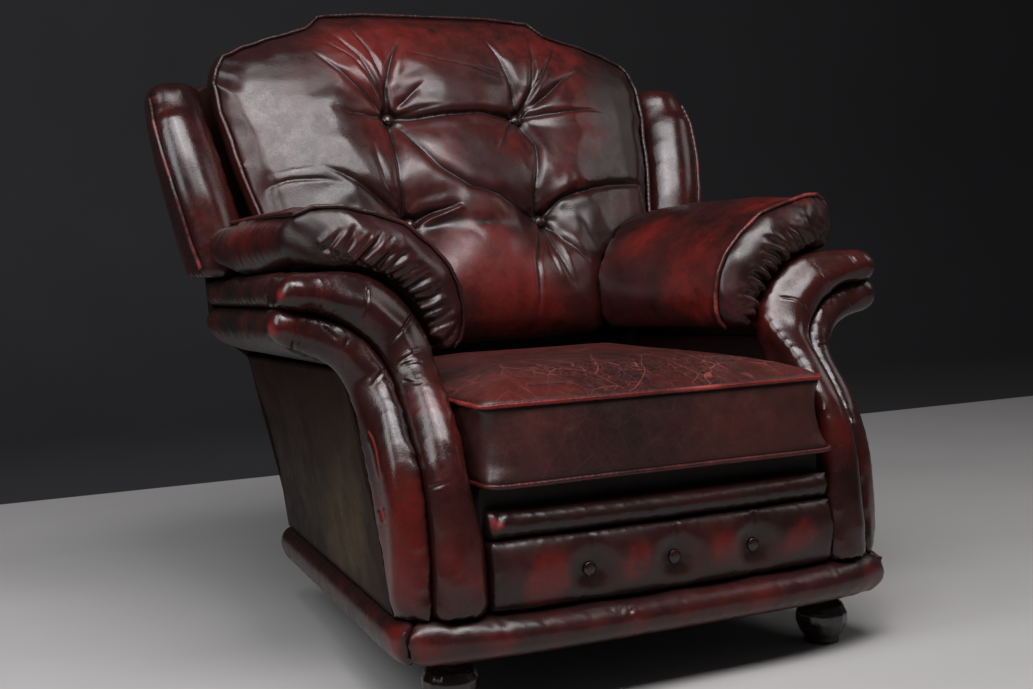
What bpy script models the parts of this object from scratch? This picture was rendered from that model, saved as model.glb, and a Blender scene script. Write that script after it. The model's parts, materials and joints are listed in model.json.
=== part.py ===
"""Worn club chair: timber frame, padded leather arms, buttoned back and loose seat cushion.

Metres, +Z up. The chair faces -Y; +X is its left-hand arm seen from the sitter's side.
Every soft piece is a loft through cross-sections worked out from the dimensions below.
"""

import math

import bmesh
import bpy
from mathutils import Vector

# ------------------------------------------------------------------ driving dimensions
GAP = 0.0003                # clearance between pieces that touch
SHIFT_Y = 0.051775             # moves the finished chair so its box is centred on the origin
SHIFT_Z = -0.012            # the drawing heights below start this far under the floor

FOOT_HEIGHT = 0.0857
RAIL_BOTTOM = 0.098
RAIL_TOP = 0.145
RAIL_THICK = 0.024

SPLAY = 0.135               # how fast the arms close in towards the back, per metre
ARM_DROP = 0.045            # how fast the arm tops fall towards the back, per metre
ARM_FRONT = -0.25           # where the arm section below is measured

ARM_CORE_OUTER = 0.4322
ARM_TOP = 0.5785
ARM_BOARD_BOTTOM = 0.452
ARM_BOARD_TOP = 0.4777

SEAT_HALF_WIDTH = 0.2695
SEAT_FRONT = -0.432
SEAT_REAR = 0.045
SEAT_BOTTOM = 0.3003

BACK_LEAN = 0.45            # how far the back cushion leans, per metre of height
BACK_BASE_Y = 0.055         # its seam line at the height below
BACK_BASE_Z = 0.43
BACK_BOTTOM = 0.4405
BACK_DEPTH = 0.06
BACK_CROWN = 0.062
BACK_BOARD_THICK = 0.012
PANEL_LEAN = 0.1265         # the outside back leans less than the cushion
PANEL_BASE_Y = 0.2623

PIPING_RADIUS = 0.0038
BUTTON_RADIUS = 0.0095

# ------------------------------------------------------------------ clean start
for old in list(bpy.data.objects):
    bpy.data.objects.remove(old, do_unlink=True)

chair = bpy.data.collections.new("worn_club_chair")
bpy.context.scene.collection.children.link(chair)


def material(name, colour, roughness, metallic=0.0):
    mat = bpy.data.materials.new(name)
    mat.use_nodes = True
    shader = mat.node_tree.nodes["Principled BSDF"]
    shader.inputs["Base Color"].default_value = (*colour, 1.0)
    shader.inputs["Roughness"].default_value = roughness
    shader.inputs["Metallic"].default_value = metallic
    mat.diffuse_color = (*colour, 1.0)
    return mat


LEATHER = ("oxblood_leather", (0.085, 0.012, 0.012), 0.32)
DARK_LEATHER = ("olive_brown_leather", (0.045, 0.030, 0.018), 0.45)
SEAT_LEATHER = ("worn_seat_leather", (0.130, 0.025, 0.020), 0.45)
EDGE_LEATHER = ("rubbed_piping_leather", (0.300, 0.030, 0.028), 0.45)
BUTTON_LEATHER = ("button_leather", (0.060, 0.010, 0.010), 0.35)
FOOT_WOOD = ("dark_foot_wood", (0.018, 0.010, 0.008), 0.25)
FRAME_WOOD = ("pale_frame_timber", (0.420, 0.270, 0.150), 0.70)
PADDING = ("dark_padding_felt", (0.022, 0.016, 0.015), 0.90)
CLOTH = ("black_dust_cloth", (0.020, 0.020, 0.022), 0.95)


# ------------------------------------------------------------------ making meshes
def finish(obj, kind, smooth=True):
    name, colour, roughness = kind
    obj.data.materials.append(material(f"{name}_{obj.name}", colour, roughness))
    if smooth and obj.type == "MESH":
        for face in obj.data.polygons:
            face.use_smooth = True
    obj.location = (0.0, SHIFT_Y, SHIFT_Z)
    chair.objects.link(obj)
    return obj


def mesh_object(name, verts, faces, kind, smooth=True):
    mesh = bpy.data.meshes.new(name)
    mesh.from_pydata([tuple(v) for v in verts], [], faces)
    work = bmesh.new()
    work.from_mesh(mesh)
    bmesh.ops.triangulate(work, faces=[f for f in work.faces if len(f.verts) > 4])
    bmesh.ops.recalc_face_normals(work, faces=work.faces)
    work.to_mesh(mesh)
    work.free()
    return finish(bpy.data.objects.new(name, mesh), kind, smooth)


def loft(name, rings, kind, smooth=True):
    """Closed solid through rings that all have the same number of points."""
    count = len(rings[0])
    verts = [p for ring in rings for p in ring]
    faces = []
    for r in range(len(rings) - 1):
        for i in range(count):
            j = (i + 1) % count
            a, b = r * count, (r + 1) * count
            faces.append((a + i, a + j, b + j, b + i))
    faces.append(tuple(range(count)))
    faces.append(tuple(range((len(rings) - 1) * count, len(rings) * count)))
    return mesh_object(name, verts, faces, kind, smooth)


def box(name, low, high, kind):
    """Square-cut piece between two corners."""
    (x0, y0, z0), (x1, y1, z1) = low, high
    rings = [[(x0, y0, z), (x1, y0, z), (x1, y1, z), (x0, y1, z)] for z in (z0, z1)]
    return loft(name, rings, kind, smooth=False)


def piping(name, points, kind=EDGE_LEATHER, radius=PIPING_RADIUS, closed=False):
    curve = bpy.data.curves.new(name, "CURVE")
    curve.dimensions = "3D"
    curve.bevel_depth = radius
    curve.bevel_resolution = 1
    curve.use_fill_caps = not closed
    spline = curve.splines.new("POLY")
    spline.points.add(len(points) - 1)
    for slot, p in zip(spline.points, points):
        slot.co = (*p, 1.0)
    spline.use_cyclic_u = closed
    return finish(bpy.data.objects.new(name, curve), kind)


def turned(name, profile, centre, kind, segments=14, axis=(0.0, 0.0, 1.0)):
    """Solid of revolution from a top-to-bottom profile on +X."""
    mesh = bpy.data.meshes.new(name)
    mesh.from_pydata([(r, 0.0, z) for r, z in profile], [(i, i + 1) for i in range(len(profile) - 1)], [])
    obj = finish(bpy.data.objects.new(name, mesh), kind)
    obj.rotation_mode = "QUATERNION"
    obj.rotation_quaternion = Vector((0, 0, 1)).rotation_difference(Vector(axis))
    obj.location = Vector(centre) + Vector((0, SHIFT_Y, SHIFT_Z))
    screw = obj.modifiers.new("turn", "SCREW")
    screw.axis = "Z"
    screw.steps = segments
    screw.render_steps = segments
    screw.use_merge_vertices = True
    screw.merge_threshold = 0.00005
    screw.use_smooth_shade = True
    return obj


# ------------------------------------------------------------------ small sums
def along(track, t):
    """Point at fraction t of a list of points, eased smoothly through them."""
    last = len(track) - 1
    place = min(max(t, 0.0), 1.0) * last
    i = min(int(place), last - 1)
    f = place - i
    p0, p1, p2, p3 = (track[min(max(k, 0), last)] for k in (i - 1, i, i + 1, i + 2))
    out = []
    for a, b, c, d in zip(p0, p1, p2, p3):
        out.append(0.5 * (2 * b + (c - a) * f + (2 * a - 5 * b + 4 * c - d) * f * f
                          + (3 * b - a - 3 * c + d) * f ** 3))
    return tuple(out)


def value_at(pairs, x):
    """Straight-line reading between (x, value) pairs."""
    if x <= pairs[0][0]:
        return pairs[0][1]
    for (xa, va), (xb, vb) in zip(pairs, pairs[1:]):
        if x <= xb:
            return va + (vb - va) * (x - xa) / (xb - xa)
    return pairs[-1][1]


def arm_point(side, x, y, z):
    """A point of the arm section carried back along the closing, falling arm."""
    back = y - ARM_FRONT
    return (side * (x - SPLAY * back), y, z - ARM_DROP * back)


def in_from(x, y):
    return x - SPLAY * (y - ARM_FRONT)


def back_seam_y(z):
    return BACK_BASE_Y + BACK_LEAN * (z - BACK_BASE_Z)


def panel_y(z):
    return PANEL_BASE_Y + PANEL_LEAN * (z - RAIL_TOP)


SIDES = (("left", -1.0), ("right", 1.0))

# ------------------------------------------------------------------ feet
FOOT_PROFILE = ((0.0, FOOT_HEIGHT), (0.030, FOOT_HEIGHT), (0.030, 0.076), (0.022, 0.071), (0.022, 0.064),
                (0.032, 0.056), (0.038, 0.044), (0.038, 0.032), (0.032, 0.017), (0.026, 0.009),
                (0.026, 0.0), (0.0, 0.0))
FRONT_FOOT_X, FRONT_FOOT_Y = 0.300, -0.372
REAR_FOOT_X, REAR_FOOT_Y = 0.185, 0.232      # set in under the rear rail
for side_name, side in SIDES:
    turned(f"front_foot_{side_name}", FOOT_PROFILE, (side * FRONT_FOOT_X, FRONT_FOOT_Y, -SHIFT_Z), FOOT_WOOD)
    turned(f"rear_foot_{side_name}", FOOT_PROFILE, (side * REAR_FOOT_X, REAR_FOOT_Y, -SHIFT_Z), FOOT_WOOD)

# ------------------------------------------------------------------ base frame
FRONT_RAIL_FACE = -0.405
REAR_RAIL_FACE = 0.262
SIDE_RAIL_X = 0.338         # outer face of the side rail at ARM_FRONT


def side_strip(name, side, x_in, x_out, y0, y1, z0, z1, kind):
    """Straight timber running back along the closing side of the chair."""
    rings = [[(side * in_from(x_in, y), y, z0), (side * in_from(x_out, y), y, z0),
              (side * in_from(x_out, y), y, z1), (side * in_from(x_in, y), y, z1)] for y in (y0, y1)]
    return loft(name, rings, kind, smooth=False)


rail_back = FRONT_RAIL_FACE + RAIL_THICK
box("front_rail", (-0.355, FRONT_RAIL_FACE, RAIL_BOTTOM), (0.355, rail_back, RAIL_TOP), FRAME_WOOD)
box("rear_rail", (-0.262, REAR_RAIL_FACE - RAIL_THICK, RAIL_BOTTOM), (0.262, REAR_RAIL_FACE, RAIL_TOP),
    FRAME_WOOD)
for side_name, side in SIDES:
    side_strip(f"side_rail_{side_name}", side, SIDE_RAIL_X - 0.030, SIDE_RAIL_X, rail_back + GAP,
               REAR_RAIL_FACE - RAIL_THICK - GAP, RAIL_BOTTOM, RAIL_TOP, FRAME_WOOD)

# ------------------------------------------------------------------ what stands on the base frame
DECK_TOP = SEAT_BOTTOM - GAP
DECK_BOTTOM = 0.236
ARM_FRONT_LEAN = 0.40       # the arm fronts lean back as they rise


def arm_front_y(z):
    return -0.372 + ARM_FRONT_LEAN * (z - RAIL_TOP)


box("front_board", (-0.2670, FRONT_RAIL_FACE, RAIL_TOP + GAP),
    (0.2670, FRONT_RAIL_FACE + 0.020, DECK_BOTTOM - GAP), FRAME_WOOD)
box("rear_seat_board", (-0.290, 0.070, RAIL_TOP + GAP), (0.290, 0.092, DECK_BOTTOM - GAP), FRAME_WOOD)


def deck_ring(z):
    left = [(0.2670, FRONT_RAIL_FACE), (0.2670, -0.308), (in_from(0.2973, -0.308), -0.308),
            (in_from(0.2973, 0.12), 0.12)]
    return [(x, y, z) for x, y in left] + [(-x, y, z) for x, y in reversed(left)]


loft("seat_deck", [deck_ring(DECK_BOTTOM), deck_ring(DECK_TOP)], PADDING, smooth=False)


def cover_ring(z):
    right = [(0.225, -0.395), (0.330, -0.280), (0.280, 0.110), (0.120, 0.235), (0.120, 0.255)]
    return [(x, y, z) for x, y in right] + [(-x, y, z) for x, y in reversed(right)]


loft("dust_cover", [cover_ring(RAIL_BOTTOM - 0.0018), cover_ring(RAIL_BOTTOM - GAP)], CLOTH, smooth=False)

POST_TOP = 0.90
BACK_POST_BOTTOM = (0.246, 0.272, 0.205, 0.2620)        # x in, x out, y front, y back
BACK_POST_TOP = (0.314, 0.340, 0.3397, 0.3575)
for side_name, side in SIDES:
    box(f"front_post_{side_name}", (min(side * 0.306, side * 0.331), -0.232, RAIL_TOP + GAP),
        (max(side * 0.306, side * 0.331), -0.192, ARM_BOARD_BOTTOM - 0.0032), FRAME_WOOD)
    rings = []
    for (xa, xb, ya, yb), z in ((BACK_POST_BOTTOM, RAIL_TOP + GAP), (BACK_POST_TOP, POST_TOP)):
        rings.append([(side * xa, ya, z), (side * xb, ya, z), (side * xb, yb, z), (side * xa, yb, z)])
    loft(f"back_post_{side_name}", rings, FRAME_WOOD, smooth=False)
box("back_top_rail", (-0.3080, 0.3369, 0.850), (0.3080, 0.3512, 0.895), FRAME_WOOD)


def board_ring(extra):
    right = [(0.2040, DECK_TOP + GAP), (0.2040, 0.570), (0.3330, 0.580), (0.3330, 0.900), (0.240, 0.935)]
    ring = [(x, back_seam_y(z) + BACK_DEPTH + GAP + extra, z) for x, z in right]
    return ring + [(-x, y, z) for x, y, z in reversed(ring)]


loft("back_board", [board_ring(0.0), board_ring(BACK_BOARD_THICK)], FRAME_WOOD, smooth=False)

# ------------------------------------------------------------------ arm boards, cores and side bands
CORE_PROFILE = ((0.262, 0.4780), (0.268, 0.492), (0.280, 0.515), (0.295, 0.536), (0.315, 0.555),
                (0.342, 0.570), (0.376, ARM_TOP), (ARM_CORE_OUTER, ARM_TOP), (ARM_CORE_OUTER, 0.4780))
UPPER_BAND = ((0.4325, 0.5318), (0.452, 0.5310), (0.466, 0.5345), (0.4745, 0.5435), (0.4775, 0.555),
              (0.4735, 0.567), (0.463, 0.5755), (0.449, ARM_TOP), (0.4325, ARM_TOP))
LOWER_BAND = ((0.3848, ARM_BOARD_BOTTOM + 0.0004), (0.402, ARM_BOARD_BOTTOM + 0.004), (0.425, 0.462),
              (0.450, 0.473), (0.468, 0.485), (0.477, 0.499), (0.4775, 0.513), (0.471, 0.5245),
              (0.457, 0.5300), (0.4325, 0.5315), (0.4325, 0.4777), (0.3848, 0.4777))


def arm_prism(name, side, profile, y0, y1, kind, front_gap=GAP, steps=2, smooth=False):
    """Arm section carried back; its front face lies against the leaning arm-front rolls."""
    rings = []
    for k in range(steps + 1):
        ring = []
        for x, z in profile:
            start = arm_front_y(z - ARM_DROP * (y0 - ARM_FRONT)) + front_gap
            y = start + (y1(z) - start) * k / steps
            ring.append(arm_point(side, x, y, z))
        rings.append(ring)
    return loft(name, rings, kind, smooth)


def to_post(z):
    return 0.252


def to_panel(z):
    return panel_y(z - ARM_DROP * (0.30 - ARM_FRONT)) - 0.0006


for side_name, side in SIDES:
    board = ((0.298, ARM_BOARD_BOTTOM), (0.3845, ARM_BOARD_BOTTOM), (0.3845, ARM_BOARD_TOP - GAP),
             (0.298, ARM_BOARD_TOP - GAP))
    arm_prism(f"arm_board_{side_name}", side, board, -0.24, to_post, FRAME_WOOD, steps=1)
    core = [(x, max(z, ARM_BOARD_TOP)) for x, z in CORE_PROFILE]
    arm_prism(f"arm_core_{side_name}", side, core, -0.22, to_post, PADDING, front_gap=0.0008, steps=1)
    arm_prism(f"upper_side_band_{side_name}", side, UPPER_BAND, -0.21, to_panel, LEATHER,
              front_gap=0.0008, steps=6, smooth=True)
    arm_prism(f"lower_side_band_{side_name}", side, LOWER_BAND, -0.23, to_panel, LEATHER,
              front_gap=0.0008, steps=6, smooth=True)
    inside = []
    for y_at in (lambda z: arm_front_y(z) + 0.0008, lambda z: 0.118):
        ring = []
        for x, z in ((0.286, DECK_TOP + GAP), (0.2970, DECK_TOP + GAP), (0.2970, 0.4515), (0.286, 0.4515)):
            y = y_at(z)
            ring.append((side * in_from(x, y), y, z if z < 0.4 else z - ARM_DROP * (y - ARM_FRONT)))
        inside.append(ring)
    loft(f"inside_arm_{side_name}", inside, LEATHER, smooth=False)

# ------------------------------------------------------------------ outer skins
PANEL_THICK = 0.008
for side_name, side in SIDES:
    rings = []
    for k in range(9):
        f = k / 8
        ring = []
        for v in (0.0, 1 / 3, 2 / 3, 1.0):
            z_front, z_rear = RAIL_TOP + GAP + v * 0.3035, RAIL_TOP + GAP + v * 0.2785
            y0, y1 = arm_front_y(z_front) + 0.0004, panel_y(z_rear) - 0.0004
            y = y0 + (y1 - y0) * f
            z = z_front + (z_rear - z_front) * f
            x_bottom = 0.3755 - SPLAY * (y + 0.372)
            x_top = 0.3870 - 0.090 * (y + 0.25)
            swell = 0.004 * math.sin(math.pi * f) * math.sin(math.pi * v)
            ring.append((side * (x_bottom + (x_top - x_bottom) * v ** 1.5 + swell), y, z))
        ring += [(px - side * PANEL_THICK, py, pz) for px, py, pz in reversed(ring)]
        rings.append(ring)
    loft(f"side_panel_{side_name}", rings, DARK_LEATHER)

BACK_OUTLINE = ((0.283, RAIL_TOP + GAP), (0.298, 0.23), (0.318, 0.33), (0.334, 0.42), (0.348, 0.432),
                (0.382, 0.462), (0.394, 0.49), (0.396, 0.552), (0.420, 0.59), (0.440, 0.66),
                (0.455, 0.74), (0.461, 0.80), (0.453, 0.835), (0.430, 0.85), (0.360, 0.868),
                (0.240, 0.895), (0.0, 0.902))


def back_ring(extra):
    right = [(x, panel_y(z) + extra, z) for x, z in BACK_OUTLINE]
    return right + [(-x, y, z) for x, y, z in reversed(right[:-1])]


loft("outside_back", [back_ring(0.0), back_ring(0.006)], DARK_LEATHER, smooth=False)

# ------------------------------------------------------------------ base rolls
ROLL_BACK = FRONT_RAIL_FACE - GAP
ROLL_BOTTOM = 0.0860
ROLL_DEPTH_END = 0.0140
ROLL_DEPTH_MID = 0.063
ROLL_DEPTH_SIDE = 0.034
CORNER_IN = in_from(SIDE_RAIL_X + GAP, ROLL_BACK)
CORNER_OUT = CORNER_IN + 0.024


def roll_section(count=9):
    """(depth 0..1, height 0..1) down the rounded face of a base roll."""
    out = []
    for k in range(count):
        a = math.pi / 2 - math.pi * k / (count - 1)
        out.append((abs(math.cos(a)) ** 0.8, 0.5 + 0.5 * math.copysign(abs(math.sin(a)) ** 0.8, math.sin(a))))
    return [(q if q > 0.001 else 0.0, h) for q, h in out]


rings = []
for k in range(21):
    s = -1 + 2 * k / 20
    depth = ROLL_DEPTH_END + (ROLL_DEPTH_MID - ROLL_DEPTH_END) * (1 - abs(s) ** 4.2)
    rings.append([(s * (CORNER_IN + (CORNER_OUT - CORNER_IN) * q - 0.0004), ROLL_BACK - depth * q,
                   ROLL_BOTTOM + (RAIL_TOP - ROLL_BOTTOM) * h) for q, h in roll_section()])
loft("front_base_roll", rings, LEATHER)
for side_name, side in SIDES:
    rings = []
    stops = [None, -0.398, -0.380, -0.350, -0.25, -0.12, 0.02, 0.14, 0.22, 0.262, 0.278, 0.286]
    for y in stops:
        ring = []
        for q, h in roll_section():
            grow = 1.0 if y is None or y < 0.27 else (0.80 if y < 0.28 else 0.45)
            fill = 0.86 if y == -0.398 else (0.96 if y == -0.380 else 1.0)
            yy = ROLL_BACK - ROLL_DEPTH_END * q + 0.0004 if y is None else y
            x = CORNER_IN + (CORNER_OUT - CORNER_IN) * q if y is None else in_from(SIDE_RAIL_X + GAP, yy) \
                + ROLL_DEPTH_SIDE * (0.5 + (q - 0.5) * grow) * fill
            ring.append((side * x, yy, ROLL_BOTTOM + (RAIL_TOP - ROLL_BOTTOM) * (0.5 + (h - 0.5) * grow)))
        rings.append(ring)
    loft(f"side_base_roll_{side_name}", rings, LEATHER)

# ------------------------------------------------------------------ arm-front rolls
INNER_LINE = ((0.268, RAIL_TOP + GAP, -0.422), (0.268, 0.225, -0.418), (0.281, 0.310, -0.403),
              (0.281, 0.375, -0.378), (0.279, 0.435, -0.325), (0.270, 0.485, -0.268),
              (0.293, 0.532, -0.250), (0.322, 0.5585, -0.250), (0.352, 0.5725, -0.255),
              (0.400, 0.5775, -0.262), (0.461, 0.5755, -0.266))
GROOVE_LINE = ((0.342, RAIL_TOP + GAP, -0.417), (0.339, 0.229, -0.408), (0.339, 0.319, -0.391),
               (0.339, 0.372, -0.355), (0.336, 0.425, -0.310), (0.339, 0.447, -0.294),
               (0.349, 0.469, -0.285), (0.366, 0.489, -0.280), (0.394, 0.510, -0.272),
               (0.436, 0.527, -0.262), (0.474, 0.532, -0.262))
OUTER_LINE = ((0.379, RAIL_TOP + GAP, -0.380), (0.379, 0.215, -0.380), (0.379, 0.290, -0.368),
              (0.380, 0.345, -0.345), (0.382, 0.392, -0.308), (0.386, 0.418, -0.285),
              (0.394, 0.440, -0.272), (0.408, 0.457, -0.262), (0.432, 0.471, -0.256),
              (0.458, 0.483, -0.255), (0.480, 0.497, -0.260))
ROLL_STATIONS = 18
ROLL_FACE = 7


def front_roll(name, side, line_a, line_b, bulge, kind):
    """Padded roll between two seam lines, domed in front and flat against the arm behind."""
    rings = []
    for k in range(ROLL_STATIONS + 3):
        t = min(k, ROLL_STATIONS) / ROLL_STATIONS
        (xa, za, ya), (xb, zb, yb) = along(line_a, t), along(line_b, t)
        xa, xb = xa + (xb - xa) * 0.004, xb - (xb - xa) * 0.006
        za, zb = za + (zb - za) * 0.004, zb - (zb - za) * 0.006
        if k == 0:
            za = zb = RAIL_TOP + GAP
        over = max(0, k - ROLL_STATIONS)
        shrink = (1.0, 0.84, 0.50)[over]
        push = (0.0, 0.0050, 0.0080)[over]
        ring = []
        for i in range(ROLL_FACE + 1):
            a = math.pi * i / ROLL_FACE
            f = 0.5 - 0.5 * math.cos(a)
            x, z = xa + (xb - xa) * f, za + (zb - za) * f
            y = ya + (yb - ya) * f - bulge * math.sin(a) ** 0.8
            ring.append([x, y, z])
        for x, z in ((xb, zb), (xa, za)):
            ring.append([x, max(arm_front_y(z), ring[0][1] + 0.004 if z == za else ring[ROLL_FACE][1] + 0.004), z])
        mid = [sum(p[c] for p in ring) / len(ring) for c in range(3)]
        out = []
        for p in ring:
            x, y, z = (mid[c] + (p[c] - mid[c]) * shrink for c in range(3))
            y = min(y, arm_front_y(z))
            z -= ARM_DROP * max(0.0, y - ARM_FRONT) if z > 0.46 else 0.0
            out.append((side * (x + push), y, z))
        rings.append(out)
    return loft(name, rings, kind)


for side_name, side in SIDES:
    front_roll(f"inner_front_roll_{side_name}", side, INNER_LINE, GROOVE_LINE, 0.024, LEATHER)
    front_roll(f"outer_front_roll_{side_name}", side, GROOVE_LINE, OUTER_LINE, 0.017, LEATHER)

# ------------------------------------------------------------------ seat front: border panel and lip roll
FRONT_BUTTONS = (-0.129, 0.0, 0.129)
BORDER_LOW, BORDER_HIGH = RAIL_TOP + 2 * GAP, DECK_BOTTOM - GAP
BUTTON_Z = 0.188


def border_y(x, z):
    h = (z - (BORDER_LOW + BORDER_HIGH) / 2) / ((BORDER_HIGH - BORDER_LOW) / 2)
    base = FRONT_RAIL_FACE - 0.027 - 0.010 * (1 - (x / 0.267) ** 2)
    swell = 0.012 * (1 - min(1.0, abs(h)) ** 3)
    y = base - swell
    for bx in FRONT_BUTTONS:
        d = math.hypot(x - bx, z - BUTTON_Z)
        k = 1.0 if d < 0.0175 else max(0.0, 1 - (d - 0.0175) / 0.032) ** 2
        flat = FRONT_RAIL_FACE - 0.027 - 0.010 * (1 - (bx / 0.267) ** 2) - 0.001
        y += (flat - y) * k
        tuck = math.exp(-((x - bx) / 0.008) ** 2) * (1 - k)
        y += 0.0045 * tuck * (1 - min(1.0, abs(h)) ** 4)
    return y


def border_columns():
    xs = {-0.2670, 0.2670, -0.245, 0.245, -0.21, 0.21, -0.065, 0.065}
    for bx in FRONT_BUTTONS:
        for d in (-0.040, -0.022, -0.011, 0.0, 0.011, 0.022, 0.040):
            xs.add(round(bx + d, 4))
    return sorted(xs)


BORDER_ROWS = (1.0, 0.93, 0.78, 0.60, 0.475, 0.34, 0.18, 0.06, 0.0)
rings = []
for x in border_columns():
    ring = []
    for f in BORDER_ROWS:
        z = BORDER_LOW + (BORDER_HIGH - BORDER_LOW) * f
        ring.append((x, border_y(x, z), z))
    ring += [(x, FRONT_RAIL_FACE - GAP, BORDER_LOW), (x, FRONT_RAIL_FACE - GAP, BORDER_HIGH)]
    rings.append(ring)
loft("front_border", rings, LEATHER)

LIP_LOW, LIP_HIGH = DECK_BOTTOM + GAP, 0.2735
rings = []
for k in range(13):
    x = 0.2670 * (-1 + 2 * k / 12)
    front = 0.030 + 0.012 * (1 - (x / 0.267) ** 2)
    ring = []
    for i in range(8):
        a = math.pi / 2 - math.pi * i / 7
        ring.append((x, FRONT_RAIL_FACE - GAP - 0.012 - (front - 0.012) * abs(math.cos(a)) ** 0.8,
                     LIP_LOW + (LIP_HIGH - LIP_LOW) * (0.5 + 0.5 * math.sin(a))))
    ring += [(x, FRONT_RAIL_FACE - GAP, LIP_LOW), (x, FRONT_RAIL_FACE - GAP, LIP_HIGH)]
    rings.append(ring)
loft("seat_lip_roll", rings, LEATHER)

BUTTON_PROFILE = ((0.0, 0.0056), (0.0055, 0.0049), (BUTTON_RADIUS, 0.0022), (BUTTON_RADIUS, 0.0), (0.0, 0.0))
for name, bx in zip(("left", "middle", "right"), FRONT_BUTTONS):
    y = border_y(bx, BUTTON_Z)
    turned(f"front_button_{name}", BUTTON_PROFILE, (bx, y - GAP, BUTTON_Z), BUTTON_LEATHER, 12, (0, -1, 0))

# ------------------------------------------------------------------ seat cushion
def seat_half_width(y):
    return min(SEAT_HALF_WIDTH, in_from(0.286, y) - 0.0125)


def seat_outline():
    """Plan of the cushion, front-left corner round to the rear, rounded corners."""
    right = []
    r = 0.012
    for k in range(6):
        right.append((seat_half_width(SEAT_FRONT) * (k / 6) * 0.92, SEAT_FRONT - 0.006 * (1 - (k / 6) ** 2)))
    for k in range(5):
        a = math.pi / 2 * k / 4
        right.append((SEAT_HALF_WIDTH - r + r * math.sin(a), SEAT_FRONT + r - r * math.cos(a)))
    for k in range(1, 8):
        y = SEAT_FRONT + r + (SEAT_REAR - r - SEAT_FRONT - r) * k / 7
        right.append((seat_half_width(y), y))
    for k in range(1, 4):
        a = math.pi / 2 * k / 3
        right.append((seat_half_width(SEAT_REAR) - r + r * math.cos(a), SEAT_REAR - r + r * math.sin(a)))
    right.append((0.08, SEAT_REAR))
    return right + [(-x, y) for x, y in reversed(right) if x > 1e-6]


plan = seat_outline()
SEAT_MID_Y = (SEAT_FRONT + SEAT_REAR) / 2


def seat_ring(h, f=1.0, points=plan):
    """Plan of the cushion at a height; its front face leans back as it rises."""
    lean_here = -0.008 + 0.024 * min(1.0, h / 0.11)
    ring = []
    for x, y in points:
        ahead = max(0.0, (SEAT_MID_Y - y) / (SEAT_MID_Y - SEAT_FRONT))
        ring.append((x * f, SEAT_MID_Y + (y - SEAT_MID_Y) * f + lean_here * ahead * f, SEAT_BOTTOM + h))
    return ring


LEVELS = ((0.0, 0.965), (0.004, 1.0), (0.03, 1.0), (0.085, 1.0), (0.107, 1.0), (0.1125, 0.985), (0.119, 0.93),
          (0.127, 0.80), (0.134, 0.60), (0.1375, 0.36), (0.138, 0.14))
rings = [seat_ring(h, f) for h, f in LEVELS]
loft("seat_cushion", rings, SEAT_LEATHER)


def offset_plan(points, d):
    """Outline moved outwards by d, corners mitred."""
    out = []
    n = len(points)
    for i, (x, y) in enumerate(points):
        (xa, ya), (xb, yb) = points[i - 1], points[(i + 1) % n]
        u = Vector((x - xa, y - ya)).normalized()
        v = Vector((xb - x, yb - y)).normalized()
        nu, nv = Vector((u.y, -u.x)), Vector((v.y, -v.x))
        m = (nu + nv).normalized()
        out.append((x + m.x * d / m.dot(nu), y + m.y * d / m.dot(nu)))
    return out


around = offset_plan(plan, PIPING_RADIUS + GAP)
piping("seat_top_piping", seat_ring(0.1060, 1.0, around), closed=True)
piping("seat_bottom_piping", seat_ring(0.0055, 1.0, around), closed=True)

# ------------------------------------------------------------------ wings
WING_OUTER = ((0.442, 0.5450, 0.150), (0.460, 0.612, 0.168), (0.474, 0.680, 0.184), (0.485, 0.742, 0.207),
              (0.4905, 0.800, 0.235), (0.4885, 0.838, 0.260))
WING_INNER_X = ((0.54, 0.354), (0.60, 0.364), (0.64, 0.373), (0.70, 0.386), (0.75, 0.394), (0.80, 0.403),
                (0.86, 0.404))
WING_TOP_STEPS = ((0.838, 1.0), (0.850, 0.90), (0.857, 0.70), (0.860, 0.42))


def wing_edge(z):
    """Outer front edge of the wing at a height: (x, y)."""
    for (xa, za, ya), (xb, zb, yb) in zip(WING_OUTER, WING_OUTER[1:]):
        if z <= zb:
            f = (z - za) / (zb - za)
            return xa + (xb - xa) * f, ya + (yb - ya) * f
    return WING_OUTER[-1][0], WING_OUTER[-1][2]


def wing_ring(side, z, shrink=1.0, seat=False):
    xo, yo = wing_edge(min(z, 0.838))
    xi = value_at(WING_INNER_X, z)
    ring = []
    for k in range(9):
        f = k / 8
        x = xo + (xi - xo) * f
        ring.append([x, yo + 0.010 * f - 0.024 * math.sin(math.pi * f) ** 0.7])
    rear = panel_y(0.552 if seat else z) - GAP
    ring += [[xi, (yo + rear) / 2], [xi, rear], [(xi + xo - 0.020) / 2, rear], [xo - 0.020, rear],
             [xo - 0.004, (yo + rear) / 2 + 0.01]]
    cx, cy = sum(p[0] for p in ring) / len(ring), sum(p[1] for p in ring) / len(ring)
    out = []
    for x, y in ring:
        x, y = cx + (x - cx) * shrink, cy + (y - cy) * shrink
        zz = ARM_TOP + GAP - ARM_DROP * (y - ARM_FRONT) if seat else z
        out.append((side * x, y, zz))
    return out


WING_LEVELS = (0.580, 0.612, 0.645, 0.680, 0.712, 0.742, 0.771, 0.800, 0.820)
for side_name, side in SIDES:
    rings = [wing_ring(side, 0.5605, seat=True)]
    rings += [wing_ring(side, z) for z in WING_LEVELS]
    rings += [wing_ring(side, z, f) for z, f in WING_TOP_STEPS]
    loft(f"wing_{side_name}", rings, LEATHER)
    path = []
    for z in (0.572,) + WING_LEVELS + (0.836,):
        xo, yo = wing_edge(z)
        path.append((side * (xo + 0.0033), yo - 0.0023, z))
    piping(f"wing_piping_{side_name}", path)

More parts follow.
